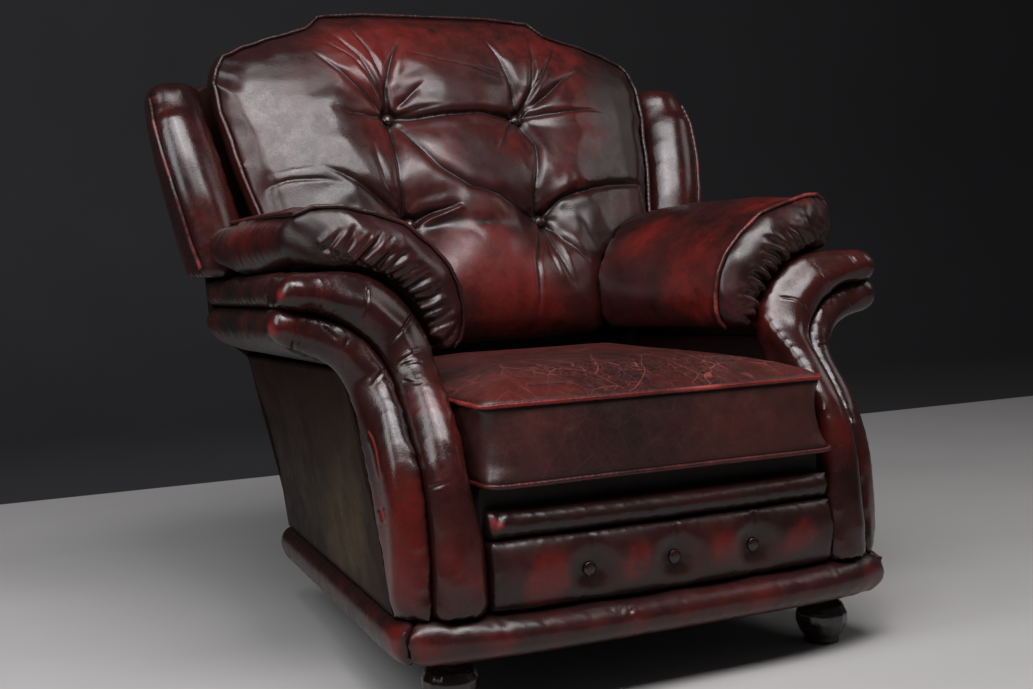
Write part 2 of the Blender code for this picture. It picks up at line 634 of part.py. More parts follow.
# ------------------------------------------------------------------ back cushion
BACK_WIDTH = ((BACK_BOTTOM, 0.180), (0.450, 0.197), (0.520, 0.203), (0.567, 0.205), (0.575, 0.322),
              (0.600, 0.345), (0.669, 0.360), (0.700, 0.369), (0.733, 0.376), (0.770, 0.380),
              (0.810, 0.389), (0.860, 0.391), (0.895, 0.378), (0.915, 0.357), (0.932, 0.303),
              (0.943, 0.252), (0.950, 0.224), (0.956, 0.211), (0.972, 0.202), (0.980, 0.176),
              (0.985, 0.115))
BACK_ROWS = (BACK_BOTTOM, 0.450, 0.475, 0.505, 0.540, 0.567, 0.575, 0.600, 0.619, 0.630, 0.641, 0.662,
             0.690, 0.715, 0.742, 0.768, 0.789, 0.800, 0.811, 0.832, 0.860, 0.885, 0.905, 0.922, 0.935,
             0.944, 0.952, 0.962, 0.974, 0.981, 0.985)
BUTTON_X = 0.117
BUTTON_HIGH, BUTTON_LOW = 0.800, 0.630
BACK_BUTTONS = (("top_left", -BUTTON_X, BUTTON_HIGH), ("top_right", BUTTON_X, BUTTON_HIGH),
                ("low_left", -BUTTON_X, BUTTON_LOW), ("low_right", BUTTON_X, BUTTON_LOW))
BACK_MID_Z, BACK_HALF_Z = 0.712, 0.273
PIT_DEPTH = 0.034


def back_folds():
    """Creases pulled between and away from the buttons: (x0, z0, x1, z1, depth, width)."""
    out = [(-BUTTON_X, BUTTON_HIGH, BUTTON_X, BUTTON_HIGH, 0.011, 0.014),
           (-BUTTON_X, BUTTON_LOW, BUTTON_X, BUTTON_LOW, 0.006, 0.014)]
    for s in (-1, 1):
        out += [(s * BUTTON_X, BUTTON_HIGH, s * BUTTON_X, BUTTON_LOW, 0.012, 0.013),
                (s * BUTTON_X, BUTTON_HIGH, s * 0.245, 0.905, 0.010, 0.015),
                (s * BUTTON_X, BUTTON_HIGH, s * 0.100, 0.955, 0.010, 0.013),
                (s * BUTTON_X, BUTTON_HIGH, s * 0.300, 0.790, 0.006, 0.016),
                (s * BUTTON_X, BUTTON_LOW, s * 0.290, 0.700, 0.009, 0.015),
                (s * BUTTON_X, BUTTON_LOW, s * 0.200, 0.480, 0.009, 0.015),
                (s * BUTTON_X, BUTTON_LOW, s * 0.090, 0.480, 0.008, 0.013)]
    return out


FOLDS = back_folds()


def back_front_y(x, z, width):
    """Front face of the back cushion: crowned, sunk at the buttons, creased between them."""
    reach = max(width, 0.340)
    s, t = min(1.0, abs(x) / reach), min(1.0, abs(z - BACK_MID_Z) / BACK_HALF_Z)
    if z < BACK_MID_Z:
        t = t ** 2.2
    seam = back_seam_y(z)
    crown = BACK_CROWN * (1 - s ** 2.8) * (1 - t ** 3.0)
    y = seam - crown
    pit = 0.0
    for _, bx, bz in BACK_BUTTONS:
        d = math.hypot(x - bx, z - bz)
        k = 1.0 if d < 0.0165 else max(0.0, 1 - (d - 0.0165) / 0.072) ** 2.2
        pit = max(pit, k)
    flat = seam - (BACK_CROWN * 0.90 - PIT_DEPTH)
    y += (flat - y) * pit
    crease = 0.0
    for x0, z0, x1, z1, depth, wide in FOLDS:
        dx, dz = x1 - x0, z1 - z0
        f = min(1.0, max(0.0, ((x - x0) * dx + (z - z0) * dz) / (dx * dx + dz * dz)))
        d = math.hypot(x - x0 - f * dx, z - z0 - f * dz)
        both = abs(z1 - z0) < 0.001 or abs(x1 - x0) < 0.001
        fade = 1.0 if both else (1 - f) ** 0.8
        crease = max(crease, depth * math.exp(-(d / wide) ** 2) * fade)
    return y + crease * (1 - pit) * min(1.0, (1 - s) * 6) * min(1.0, (1 - t) * 6)


def back_columns(width):
    inner = min(0.20, width * 0.62)
    half = [inner * f for f in (0.175, 0.35, 0.475, 0.535, 0.585, 0.635, 0.73, 0.86, 1.0)]
    half += [inner + (width - inner) * f for f in (0.30, 0.58, 0.82, 1.0)]
    return [-x for x in reversed(half)] + [0.0] + half


rings = []
for z in BACK_ROWS:
    width = value_at(BACK_WIDTH, z)
    ring = [(x, back_front_y(x, z, width), z) for x in back_columns(width)]
    rear = back_seam_y(z) + BACK_DEPTH
    front_edge = ring[-1][1]
    middle = front_edge + (rear - front_edge) * 0.5
    ring += [(width, middle, z), (width - 0.006, rear, z), (width * 0.4, rear, z),
             (-width * 0.4, rear, z), (-width + 0.006, rear, z), (-width, middle, z)]
    rings.append(ring)
loft("back_cushion", rings, LEATHER)

edge = [(value_at(BACK_WIDTH, z), z) for z in BACK_ROWS if z >= 0.600]
edge = edge + [(-x, z) for x, z in reversed(edge)]
outline = []
for k, (x, z) in enumerate(edge):
    (xa, za), (xb, zb) = edge[max(k - 1, 0)], edge[min(k + 1, len(edge) - 1)]
    u = Vector((x - xa, z - za)) if k else Vector((xb - x, zb - z))
    v = Vector((xb - x, zb - z)) if k < len(edge) - 1 else u
    nu, nv = Vector((u.y, -u.x)).normalized(), Vector((v.y, -v.x)).normalized()
    m = (nu + nv).normalized()
    reach = (PIPING_RADIUS + 0.0003) / max(0.5, m.dot(nu))
    outline.append((x + m.x * reach, back_seam_y(z), z + m.y * reach))
piping("back_cushion_piping", outline)

lean = Vector((0.0, -1.0, BACK_LEAN)).normalized()
for name, bx, bz in BACK_BUTTONS:
    y = back_front_y(bx, bz, value_at(BACK_WIDTH, bz))
    spot = Vector((bx, y, bz)) + lean * GAP
    turned(f"back_button_{name}", BUTTON_PROFILE, spot, BUTTON_LEATHER, 12, lean)

# ------------------------------------------------------------------ arm pillows
PILLOW_OUTER = ((0.238, 0.4655), (0.222, 0.471), (0.212, 0.488), (0.209, 0.514), (0.217, 0.557),
                (0.240, 0.592), (0.285, 0.631), (0.340, 0.651), (0.395, 0.661), (0.428, 0.655),
                (0.446, 0.637), (0.4475, 0.612), (0.436, 0.594), (0.418, 0.5825))
PILLOW_UNDER = ((0.395, 0.5788), (0.3755, 0.5788), (0.3415, 0.5707), (0.3142, 0.5557), (0.2942, 0.5366),
                (0.2792, 0.5155), (0.2672, 0.4922), (0.2600, 0.4740))
PILLOW_FRONT = -0.25
CAP_STEPS = ((0.88, 0.0255), (0.62, 0.0235), (0.34, 0.0160), (0.14, 0.0070))


def pillow_point(side, x, y, z):
    """Arm section carried back, but the pillow's outer bulge keeps its width."""
    keep = min(1.0, max(0.0, (x - 0.40) / 0.045)) * SPLAY * 1.05 * (y - ARM_FRONT)
    px, py, pz = arm_point(1.0, x, y, z)
    return (side * (px + keep), py, pz)


def pillow_front(x):
    """The front face turns round to the outer side in plan."""
    return PILLOW_FRONT + 0.045 * max(0.0, (x - 0.350) / 0.0975) ** 2


def pillow_rear(x, z):
    """Where the pillow stops, a little short of the back cushion and the wing."""
    y = 0.09
    for _ in range(6):
        ax, _, az = pillow_point(1.0, x, y, z)
        width = max(0.345, value_at(BACK_WIDTH, az))
        y = min(back_front_y(min(ax, width), az, width), 0.136) - 0.012
    return y


def pillow_section():
    outer = [along(PILLOW_OUTER, k / 17) for k in range(18)]
    return outer + list(PILLOW_UNDER)


def pillow_middle(section):
    """For each section point, the matching point on the middle line of the curved shape."""
    outer, under = section[:18], section[18:]
    out = []
    for k, (x, z) in enumerate(outer):
        ux, uz = along(list(reversed(under)), k / 17)
        out.append(((x + ux) / 2, (z + uz) / 2))
    for k, (x, z) in enumerate(under):
        ox, oz = along(outer, 1 - k / (len(under) - 1))
        out.append(((x + ox) / 2, (z + oz) / 2))
    return out


section = pillow_section()
middle = pillow_middle(section)
for side_name, side in SIDES:
    rings = []
    for f, bulge in CAP_STEPS:
        ring = []
        for i, ((x, z), (mx, mz)) in enumerate(zip(section, middle)):
            pleat = 0.0022 * (1 if i % 2 else -1) * (1 - f) * 2 if i < 18 else 0.0
            nx = x + (mx - x) * f
            ring.append(pillow_point(side, nx, pillow_front(nx) - bulge * (1 - max(0.0, nx - 0.36) / 0.12) + pleat,
                                     z + (mz - z) * f))
        rings.append(ring)
    for k in range(8):
        t = k / 7
        ring = []
        for i, (x, z) in enumerate(section):
            y = pillow_front(x) + (pillow_rear(x, z) - pillow_front(x)) * t
            sag = 0.004 * math.sin(math.pi * t) if 2 < i < 14 else 0.0
            mx, mz = middle[i]
            pull = sag / 0.05
            ring.append(pillow_point(side, x + (mx - x) * pull, y, z + (mz - z) * pull))
        rings.append(ring)
    last = rings[-1]
    rings.append([(px, py + 0.003, pz) for px, py, pz in
                  (pillow_point(side, x + (mx - x) * 0.30, pillow_rear(x, z), z + (mz - z) * 0.30)
                   for (x, z), (mx, mz) in zip(section, middle))])
    loft(f"arm_pillow_{side_name}", rings, LEATHER)
    path = []
    for k in range(1, 13):
        (xa, za), (x, z), (xb, zb) = section[k - 1:k + 2]
        nx, nz = -(zb - za), (xb - xa)
        off = (PIPING_RADIUS + 0.0002) / math.hypot(nx, nz)
        path.append(pillow_point(side, x + nx * off, pillow_front(x) + 0.001, z + nz * off))
    for k in range(1, 7):
        y = pillow_front(x) + (pillow_rear(x, z) - pillow_front(x)) * k / 7
        path.append(pillow_point(side, x + nx * off, y, z + nz * off))
    piping(f"arm_pillow_piping_{side_name}", path)
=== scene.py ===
# %% [markdown]
# # A worn club chair in antiqued oxblood leather
# The solids of this chair are already packed, with every board, pad and seam at its true place. This
# lesson dresses them: each soft solid is copied, cut into small even squares, pressed and pushed like
# clay, and given leather that knows where it was folded, rubbed and polished. Nothing is moved off its
# place on the frame.

import math
from contextlib import contextmanager

import bmesh
import bpy
import numpy as np
from mathutils import Euler, Matrix, Vector
from mathutils.bvhtree import BVHTree
from mathutils.kdtree import KDTree
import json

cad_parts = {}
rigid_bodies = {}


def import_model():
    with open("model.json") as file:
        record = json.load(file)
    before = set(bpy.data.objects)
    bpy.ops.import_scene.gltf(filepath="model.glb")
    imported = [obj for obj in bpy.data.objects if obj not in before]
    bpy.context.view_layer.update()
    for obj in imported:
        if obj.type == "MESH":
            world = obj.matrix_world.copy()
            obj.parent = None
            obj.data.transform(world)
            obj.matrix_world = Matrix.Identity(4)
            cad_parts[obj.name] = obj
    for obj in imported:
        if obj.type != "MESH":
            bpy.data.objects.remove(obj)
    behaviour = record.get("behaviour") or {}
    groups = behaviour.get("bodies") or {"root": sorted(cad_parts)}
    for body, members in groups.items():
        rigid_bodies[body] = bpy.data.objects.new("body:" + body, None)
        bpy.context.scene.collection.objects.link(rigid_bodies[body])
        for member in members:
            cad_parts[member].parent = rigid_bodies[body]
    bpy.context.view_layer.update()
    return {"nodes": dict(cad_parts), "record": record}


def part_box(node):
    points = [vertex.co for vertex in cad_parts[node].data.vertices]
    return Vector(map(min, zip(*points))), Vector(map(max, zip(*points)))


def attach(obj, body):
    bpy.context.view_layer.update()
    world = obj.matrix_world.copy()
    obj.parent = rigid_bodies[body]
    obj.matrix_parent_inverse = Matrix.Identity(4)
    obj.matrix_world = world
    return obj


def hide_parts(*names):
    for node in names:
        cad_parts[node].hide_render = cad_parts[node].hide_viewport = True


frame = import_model()
nodes = frame["nodes"]

# %% [markdown]
# ## The camera comes first
# A view from the front left, a little above the seat, is how an armchair is usually shown: the arm rolls,
# the buttoned back and one side are seen together. A camera looks along its own -Z, so the matrix is built
# from the direction back towards it, with a very slight roll of the hand.

# %% Camera
AZIMUTH, RISE, ROLL = math.radians(-27.6), math.radians(4.95), math.radians(-1.42)
CAMERA_AT = Vector((-1.122, -2.100225, 0.639))
LENS, SENSOR, NEAREST = 54.365, 36.0, 0.05


def camera_matrix():
    back = Vector((math.sin(AZIMUTH) * math.cos(RISE), -math.cos(AZIMUTH) * math.cos(RISE), math.sin(RISE)))
    right = Vector((0, 0, 1)).cross(back).normalized()
    up = back.cross(right)
    c, s = math.cos(ROLL), math.sin(ROLL)
    turned_right, turned_up = c * right + s * up, -s * right + c * up
    turned = Matrix((turned_right, turned_up, back)).transposed().to_4x4()
    return Matrix.Translation(CAMERA_AT) @ turned


lens = bpy.data.cameras.new("camera")
lens.lens, lens.sensor_width, lens.sensor_fit = LENS, SENSOR, "HORIZONTAL"
lens.clip_start = NEAREST
camera = bpy.data.objects.new("camera", lens)
camera.matrix_world = camera_matrix()
bpy.context.collection.objects.link(camera)
bpy.context.scene.camera = camera
print("camera at", [round(v, 3) for v in CAMERA_AT], "lens", LENS)

# %% [markdown]
# ## A pale studio
# Glossy leather shows its folds only through what it reflects, so the light matters as much as the shape.
# Three broad soft boxes make one band of light, high in front and round to the left, and a weak one fills
# the right. Dark leather also mirrors the room behind it at its sides. The floor is pale, but the paper
# behind it is charcoal, so the sides keep their deep colour.

# %% Floor and backdrop
PAPER_ROUGHNESS, PAPER_GRAIN = 0.8, 3.0
FLOOR_START, FLOOR_END, HALF_WIDTH = -6.0, 1.55, 7.0
WALL_AT, WALL_TOP, TURN, UNDER = 3.6, 4.5, 1.0, -0.003


def paper(name, low, high):
    made = bpy.data.materials.new(name)
    made.use_nodes = True
    tree = made.node_tree
    shader = tree.nodes["Principled BSDF"]
    shader.inputs["Roughness"].default_value = PAPER_ROUGHNESS
    grain = tree.nodes.new("ShaderNodeTexNoise")
    grain.inputs["Scale"].default_value = PAPER_GRAIN
    ramp = tree.nodes.new("ShaderNodeValToRGB")
    ramp.color_ramp.elements[0].color = (*low, 1)
    ramp.color_ramp.elements[1].color = (*high, 1)
    place = tree.nodes.new("ShaderNodeTexCoord")
    tree.links.new(place.outputs["Object"], grain.inputs["Vector"])
    tree.links.new(grain.outputs["Fac"], ramp.inputs["Fac"])
    tree.links.new(ramp.outputs["Color"], shader.inputs["Base Color"])
    return made


def sheet(name, half_width, line, material):
    """A strip of quads as wide as the studio, along a line of (y, z) points."""
    verts = [(x, y, z) for y, z in line for x in (-half_width, half_width)]
    faces = [(2 * k, 2 * k + 1, 2 * k + 3, 2 * k + 2) for k in range(len(line) - 1)]
    mesh = bpy.data.meshes.new(name)
    mesh.from_pydata(verts, [], faces)
    for face in mesh.polygons:
        face.use_smooth = True
    mesh.materials.append(material)
    made = bpy.data.objects.new(name, mesh)
    bpy.context.collection.objects.link(made)


sheet("pale_floor", HALF_WIDTH, [(FLOOR_START, 0.0), (FLOOR_END, 0.0)],
      paper("pale_floor", (0.42, 0.41, 0.40), (0.48, 0.47, 0.46)))
turn_up = [(WALL_AT - TURN + TURN * math.sin(a), TURN - TURN * math.cos(a) + UNDER)
           for a in (math.pi / 2 * k / 12 for k in range(13))]
sheet("charcoal_paper", HALF_WIDTH, [(FLOOR_START, UNDER), *turn_up, (WALL_AT, WALL_TOP)],
      paper("charcoal_paper", (0.028, 0.029, 0.031), (0.036, 0.037, 0.040)))
print("floor ends at", FLOOR_END, "and the paper turns up before", WALL_AT)


# %% Lights
def soft_box(name, at, towards, size, power, tint):
    light = bpy.data.lights.new(name, "AREA")
    light.shape, light.size, light.size_y = "RECTANGLE", size[0], size[1]
    light.energy, light.color = power, tint
    made = bpy.data.objects.new(name, light)
    made.location = at
    made.rotation_euler = (Vector(towards) - Vector(at)).to_track_quat("-Z", "Y").to_euler()
    bpy.context.collection.objects.link(made)


soft_box("high_front_light", (-0.12, -1.32, 2.65), (0.0, 0.0, 0.6), (1.5, 1.0), 50, (1.0, 0.97, 0.99))
soft_box("high_left_light", (-1.07, -1.19, 2.45), (0.0, 0.0, 0.6), (1.0, 1.0), 27, (0.98, 0.97, 1.0))
soft_box("left_light", (-2.16, -0.55, 2.00), (0.0, 0.0, 0.5), (0.9, 1.5), 27, (0.95, 0.97, 1.0))
soft_box("right_fill", (2.4, -0.8, 2.2), (0.0, 0.0, 0.5), (1.1, 1.1), 7, (1.0, 0.97, 0.95))
world = bpy.data.worlds.new("studio_air")
world.use_nodes = True
world.node_tree.nodes["Background"].inputs["Color"].default_value = (0.70, 0.72, 0.75, 1)
world.node_tree.nodes["Background"].inputs["Strength"].default_value = 0.06
bpy.context.scene.world = world
bpy.context.scene.view_settings.view_transform = "Standard"

# %% [markdown]
# ## Leather that remembers
# Antiqued hide is dyed bright and then rubbed with a near black glaze. The glaze stays in seams and
# folds, and wears off the middle of each panel and off every edge a hand touches. So the leather below is
# one recipe that reads four marks stored on the mesh: `hollow` (glaze kept, and painted shade in folds and
# where pieces meet), `glow` (glaze thinned), `rub` (worn through) and `web` (dried into pale creases).
# Painting the marks on the mesh, not in an image, keeps them tied to the folds that make them.

# %% Small helpers for shader trees
class Recipe:
    """A material under construction: short calls that add a node and link it."""

    def __init__(self, name):
        self.made = bpy.data.materials.new(name)
        self.made.use_nodes = True
        self.tree = self.made.node_tree
        self.shader = self.tree.nodes["Principled BSDF"]
        self.coords = self.tree.nodes.new("ShaderNodeTexCoord").outputs["Object"]

    def node(self, kind, settings=None, **inputs):
        made = self.tree.nodes.new(kind)
        for key, value in (settings or {}).items():
            setattr(made, key, value)
        for key, value in inputs.items():
            socket = made.inputs[int(key[1:])] if key[0] == "i" and key[1:].isdigit() else made.inputs[key]
            if isinstance(value, bpy.types.NodeSocket):
                self.tree.links.new(value, socket)
            else:
                socket.default_value = value
        return made

    def stretch(self, scale):
        return self.node("ShaderNodeMapping", None, Vector=self.coords, Scale=scale).outputs["Vector"]

    def noise(self, scale, detail=3.0, rough=0.55, vector=None, twist=0.0):
        return self.node("ShaderNodeTexNoise", None, Vector=vector or self.coords, Scale=scale, Detail=detail,
                         Roughness=rough, Distortion=twist).outputs["Fac"]

    def wander(self, vector, scale, amount):
        """The same coordinates pushed about by a slow noise, so straight lines come out bent."""
        cloud = self.node("ShaderNodeTexNoise", None, Vector=vector, Scale=scale, Detail=2.0).outputs["Color"]
        even = self.node("ShaderNodeVectorMath", {"operation": "SUBTRACT"}, i0=cloud, i1=(0.5, 0.5, 0.5))
        less = self.node("ShaderNodeVectorMath", {"operation": "SCALE"}, i0=even.outputs[0], Scale=amount)
        moved = self.node("ShaderNodeVectorMath", {"operation": "ADD"}, i0=vector, i1=less.outputs[0])
        return moved.outputs[0]

    def cells(self, scale, feature="F1", vector=None):
        return self.node("ShaderNodeTexVoronoi", {"feature": feature}, Vector=vector or self.coords,
                         Scale=scale).outputs["Distance"]

    def edges(self, scale, width, power=1.0, vector=None):
        """A net of thin lines between cells."""
        return self.span(self.cells(scale, "DISTANCE_TO_EDGE", vector), 0.0, width, power, 0.0)

    def sum(self, *values):
        total = values[0]
        for value in values[1:]:
            total = self.math("ADD", total, value)
        return total

    def about(self, value, power):
        """A texture made to swing about nought, times power."""
        return self.math("MULTIPLY", self.math("SUBTRACT", value, 0.5), power)

    def mark(self, name):
        return self.node("ShaderNodeAttribute", {"attribute_name": name}).outputs["Fac"]

    def math(self, how, a, b=0.0):
        return self.node("ShaderNodeMath", {"operation": how}, i0=a, i1=b).outputs[0]

    def span(self, value, low, high, to_low=0.0, to_high=1.0):
        limits = {"From Min": low, "From Max": high, "To Min": to_low, "To Max": to_high}
        made = self.node("ShaderNodeMapRange", {"interpolation_type": "SMOOTHSTEP"}, Value=value, **limits)
        return made.outputs["Result"]

    def blend(self, amount, a, b):
        """Mixes two colours: inputs 6 and 7 of the node are for colour, and so is its output 2."""
        a, b = (c if isinstance(c, bpy.types.NodeSocket) else (*c, 1.0) for c in (a, b))
        return self.node("ShaderNodeMix", {"data_type": "RGBA"}, Factor=amount, i6=a, i7=b).outputs[2]

    def bump(self, height, strength, distance, under=None):
        made = self.node("ShaderNodeBump", None, Height=height, Strength=strength, Distance=distance)
        if under is not None:
            self.tree.links.new(under, made.inputs["Normal"])
        return made.outputs["Normal"]

    def finish(self, colour, roughness, normal):
        self.tree.links.new(colour, self.shader.inputs["Base Color"])
        self.tree.links.new(roughness, self.shader.inputs["Roughness"])
        self.tree.links.new(normal, self.shader.inputs["Normal"])
        return self.made


print("recipe words:", [name for name in vars(Recipe) if not name.startswith("_")])


# %% The leather recipe
def wear(r, glaze, hide, bright):
    """The dyed hide under its dark glaze: cloudy patches, thin where it glows, glaze and painted shade in
    hollows.
    """
    cloudy, mottled = r.noise(6.0, 4.0, 0.6), r.noise(32.0, 5.0, 0.65)
    flecks, grainy = r.noise(260.0, 3.0, 0.6), r.noise(120.0, 3.0, 0.6)
    broken = r.span(r.noise(15.0, 5.0, 0.6), 0.25, 0.75, 0.45, 1.35)
    lit = r.sum(r.math("MULTIPLY", r.mark("glow"), broken), r.about(mottled, 0.7), r.about(grainy, 0.5),
                r.about(cloudy, 0.5))
    base = r.blend(r.span(cloudy, 0.34, 0.68), glaze, hide)
    base = r.blend(r.span(lit, 0.02, 1.25), base, bright)
    base = r.blend(r.span(flecks, 0.35, 0.75, 0.0, 0.30), base, glaze)
    # The hollow mark turns the hide to the glaze colour: glaze kept in folds, and painted shade in folds and
    # near other pieces.
    base = r.blend(r.span(r.mark("hollow"), 0.08, 0.90, 0.0, 0.92), base, glaze)
    return base, mottled, flecks


def long_creases(r):
    """Long creases are the contour lines of a slow noise: they run on, bend and cross as real ones do."""
    slow = r.noise(5.5, 2.0, 0.5, r.stretch((1.3, 0.75, 1.0)), 0.9)
    slower = r.noise(9.0, 2.0, 0.5, r.stretch((0.8, 1.2, 1.1)), 0.7)
    found = None
    for value, level, width in ((slow, 0.46, 0.0045), (slow, 0.55, 0.004), (slower, 0.50, 0.006),
                                (slower, 0.60, 0.0045)):
        line = r.span(r.math("ABSOLUTE", r.math("SUBTRACT", value, level)), 0.0, width, 1.0, 0.0)
        found = line if found is None else r.math("MAXIMUM", found, line)
    return found


def dry_web(r, cracks):
    """The net of pale creases in hide that is sat on, and how strongly it is coloured in."""
    long_way = r.wander(r.stretch((1.0, 0.45, 1.0)), 5.0, 0.10)
    other_way = r.wander(r.stretch((1.2, 0.9, 1.1)), 7.0, 0.08)
    net = r.math("MAXIMUM", r.edges(20.0, 0.016, 1.0, long_way), r.edges(44.0, 0.026, 0.6, other_way))
    marked = r.math("MULTIPLY", r.math("MAXIMUM", net, r.math("MULTIPLY", cracks, 0.25)),
                    r.span(r.noise(9.0, 3.0), 0.34, 0.60, 0.15, 1.0))
    return net, r.math("MULTIPLY", marked, r.mark("web"))


def leather(name, glaze, hide, bright, worn, gloss=0.33, coat=0.2, web=0.0, creases=0.5, shine=0.42):
    """glaze (also painted shade in hollows), hide, bright and worn are its colours, darkest to most rubbed;
    web adds pale crease lines.
    """
    r = Recipe(name)
    base, mottled, flecks = wear(r, glaze, hide, bright)
    rub = r.mark("rub")
    scuffed = r.span(r.sum(rub, r.about(mottled, 0.9)), 0.35, 0.95)
    scuffed = r.math("MULTIPLY", scuffed, r.span(rub, 0.04, 0.30))
    base = r.blend(scuffed, base, worn)
    cracks = r.edges(95.0, 0.09)
    if web:
        crease, marked = dry_web(r, cracks)
        base = r.blend(r.math("MULTIPLY", marked, web), base, worn)
    else:
        crease = long_creases(r)
    skin = r.sum(r.math("MULTIPLY", r.cells(520.0), 0.6), r.math("MULTIPLY", r.noise(420.0, 2.0), 0.8))
    normal = r.bump(skin, 0.30, 0.00045)
    normal = r.bump(r.noise(75.0, 3.0, 0.55), 0.22 * creases, 0.0018, normal)
    normal = r.bump(r.sum(crease, r.math("MULTIPLY", cracks, 0.35)), -0.45 * creases, 0.0008, normal)
    rough = r.sum(r.span(mottled, 0.25, 0.75, gloss - 0.06, gloss + 0.08), r.math("MULTIPLY", scuffed, 0.20),
                  r.span(flecks, 0.3, 0.7, -0.02, 0.04))
    r.shader.inputs["Coat Weight"].default_value = coat
    r.shader.inputs["Coat Roughness"].default_value = 0.20
    r.shader.inputs["Specular IOR Level"].default_value = shine
    return r.finish(base, rough, normal)


print("gloss, coat, web, creases and shine, if a leather says nothing:", leather.__defaults__)

# %% The six leathers of this chair
# The darkest colour is the glaze, and also the painted shade that the hollow mark lays in folds and near
# other pieces.
GLAZE_AND_SHADE = (0.0125, 0.0042, 0.0036)
OXBLOOD = leather("antiqued_oxblood", GLAZE_AND_SHADE, (0.040, 0.0076, 0.0062), (0.116, 0.0088, 0.0066),
                  (0.200, 0.0180, 0.0135), 0.32, 0.08, creases=0.30)
ROLL_HIDE = leather("polished_roll_hide", GLAZE_AND_SHADE, (0.046, 0.0088, 0.0070), (0.104, 0.0076, 0.0056),
                    (0.230, 0.0200, 0.0150), 0.22, 0.10, creases=0.10)
SEAT_HIDE = leather("worn_seat_hide", (0.017, 0.0068, 0.0056), (0.050, 0.0135, 0.0108),
                    (0.090, 0.0100, 0.0076), (0.260, 0.060, 0.050), 0.38, 0.05, web=0.85, creases=0.45)
SIDE_HIDE = leather("olive_brown_hide", (0.0120, 0.0042, 0.0028), (0.026, 0.0105, 0.0060),
                    (0.085, 0.054, 0.022), (0.420, 0.045, 0.040), 0.46, 0.0, creases=0.3, shine=0.08)
PIPING_HIDE = leather("rubbed_piping_hide", (0.010, 0.0034, 0.0032), (0.040, 0.0066, 0.0058),
                      (0.190, 0.0130, 0.0100), (0.300, 0.045, 0.036), 0.36, 0.05, creases=0.1)
BUTTON_HIDE = leather("button_hide", (0.008, 0.0028, 0.0028), (0.020, 0.0040, 0.0038), (0.06, 0.006, 0.005),
                      (0.12, 0.02, 0.018), 0.22, 0.35, creases=0.1)
print("leathers:", [m.name for m in (OXBLOOD, ROLL_HIDE, SEAT_HIDE, SIDE_HIDE, PIPING_HIDE, BUTTON_HIDE)])

# %% [markdown]
# ## What is there already
# Every cover starts from its own solid, and must know the solids beside it: leather is darkest where two
# pieces meet, and a filled cushion may not swell into its neighbour. Search trees over the solids answer
# both.

# %% What lies next to a piece, and which finish it has
AROUND = 0.03
SHAPES = {}
for name, thing in nodes.items():
    corners = [v.co.copy() for v in thing.data.vertices]
    SHAPES[name] = (corners, [tuple(p.vertices) for p in thing.data.polygons])


def neighbours(node):
    """One search tree over every other solid whose box comes close."""
    low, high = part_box(node)
    verts, faces = [], []
    for name, (points, loops) in SHAPES.items():
        a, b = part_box(name)
        if name != node and all(a[k] < high[k] + AROUND and b[k] > low[k] - AROUND for k in range(3)):
            faces += [tuple(i + len(verts) for i in loop) for loop in loops]
            verts += points
    return BVHTree.FromPolygons(verts, faces)


SLOT_OF = {part["node"]: part["material_slot"] for part in frame["record"]["subparts"]}
print("faces in all solids:", sum(len(faces) for _, faces in SHAPES.values()))

# %% [markdown]
# ## Clay: a mesh that can be pressed
# A packed solid has long flat faces that show their corners in polished leather. A voxel remesh turns it
# into even squares a few millimetres wide, and smoothing that swings out again after each step in rounds
# it without shrinking. The points are then kept in one array, so a fold is a line of numbers and not a
# brush. A face that lies almost along the grid of squares gets long low steps, which smoothing can't take
# out. So the solid is turned well off the grid before it is cut into squares, and turned back after.

# %% The clay helper
TILT = Euler((0.52, 0.37, 0.61)).to_matrix().to_4x4()
SAME_POINT, EVENING_ROUNDS, MOST_HALVINGS, LONGEST_EDGE = 0.00002, 14, 9, (0.012, 0.020)


@contextmanager
def opened(mesh):
    """The mesh opened for cuts, and written back after them."""
    work = bmesh.new()
    work.from_mesh(mesh)
    yield work
    work.to_mesh(mesh)
    work.free()


def vectors(items, what):
    """One vector of every vertex, read in one go."""
    flat = np.empty(len(items) * 3)
    items.foreach_get(what, flat)
    return flat.reshape(-1, 3)


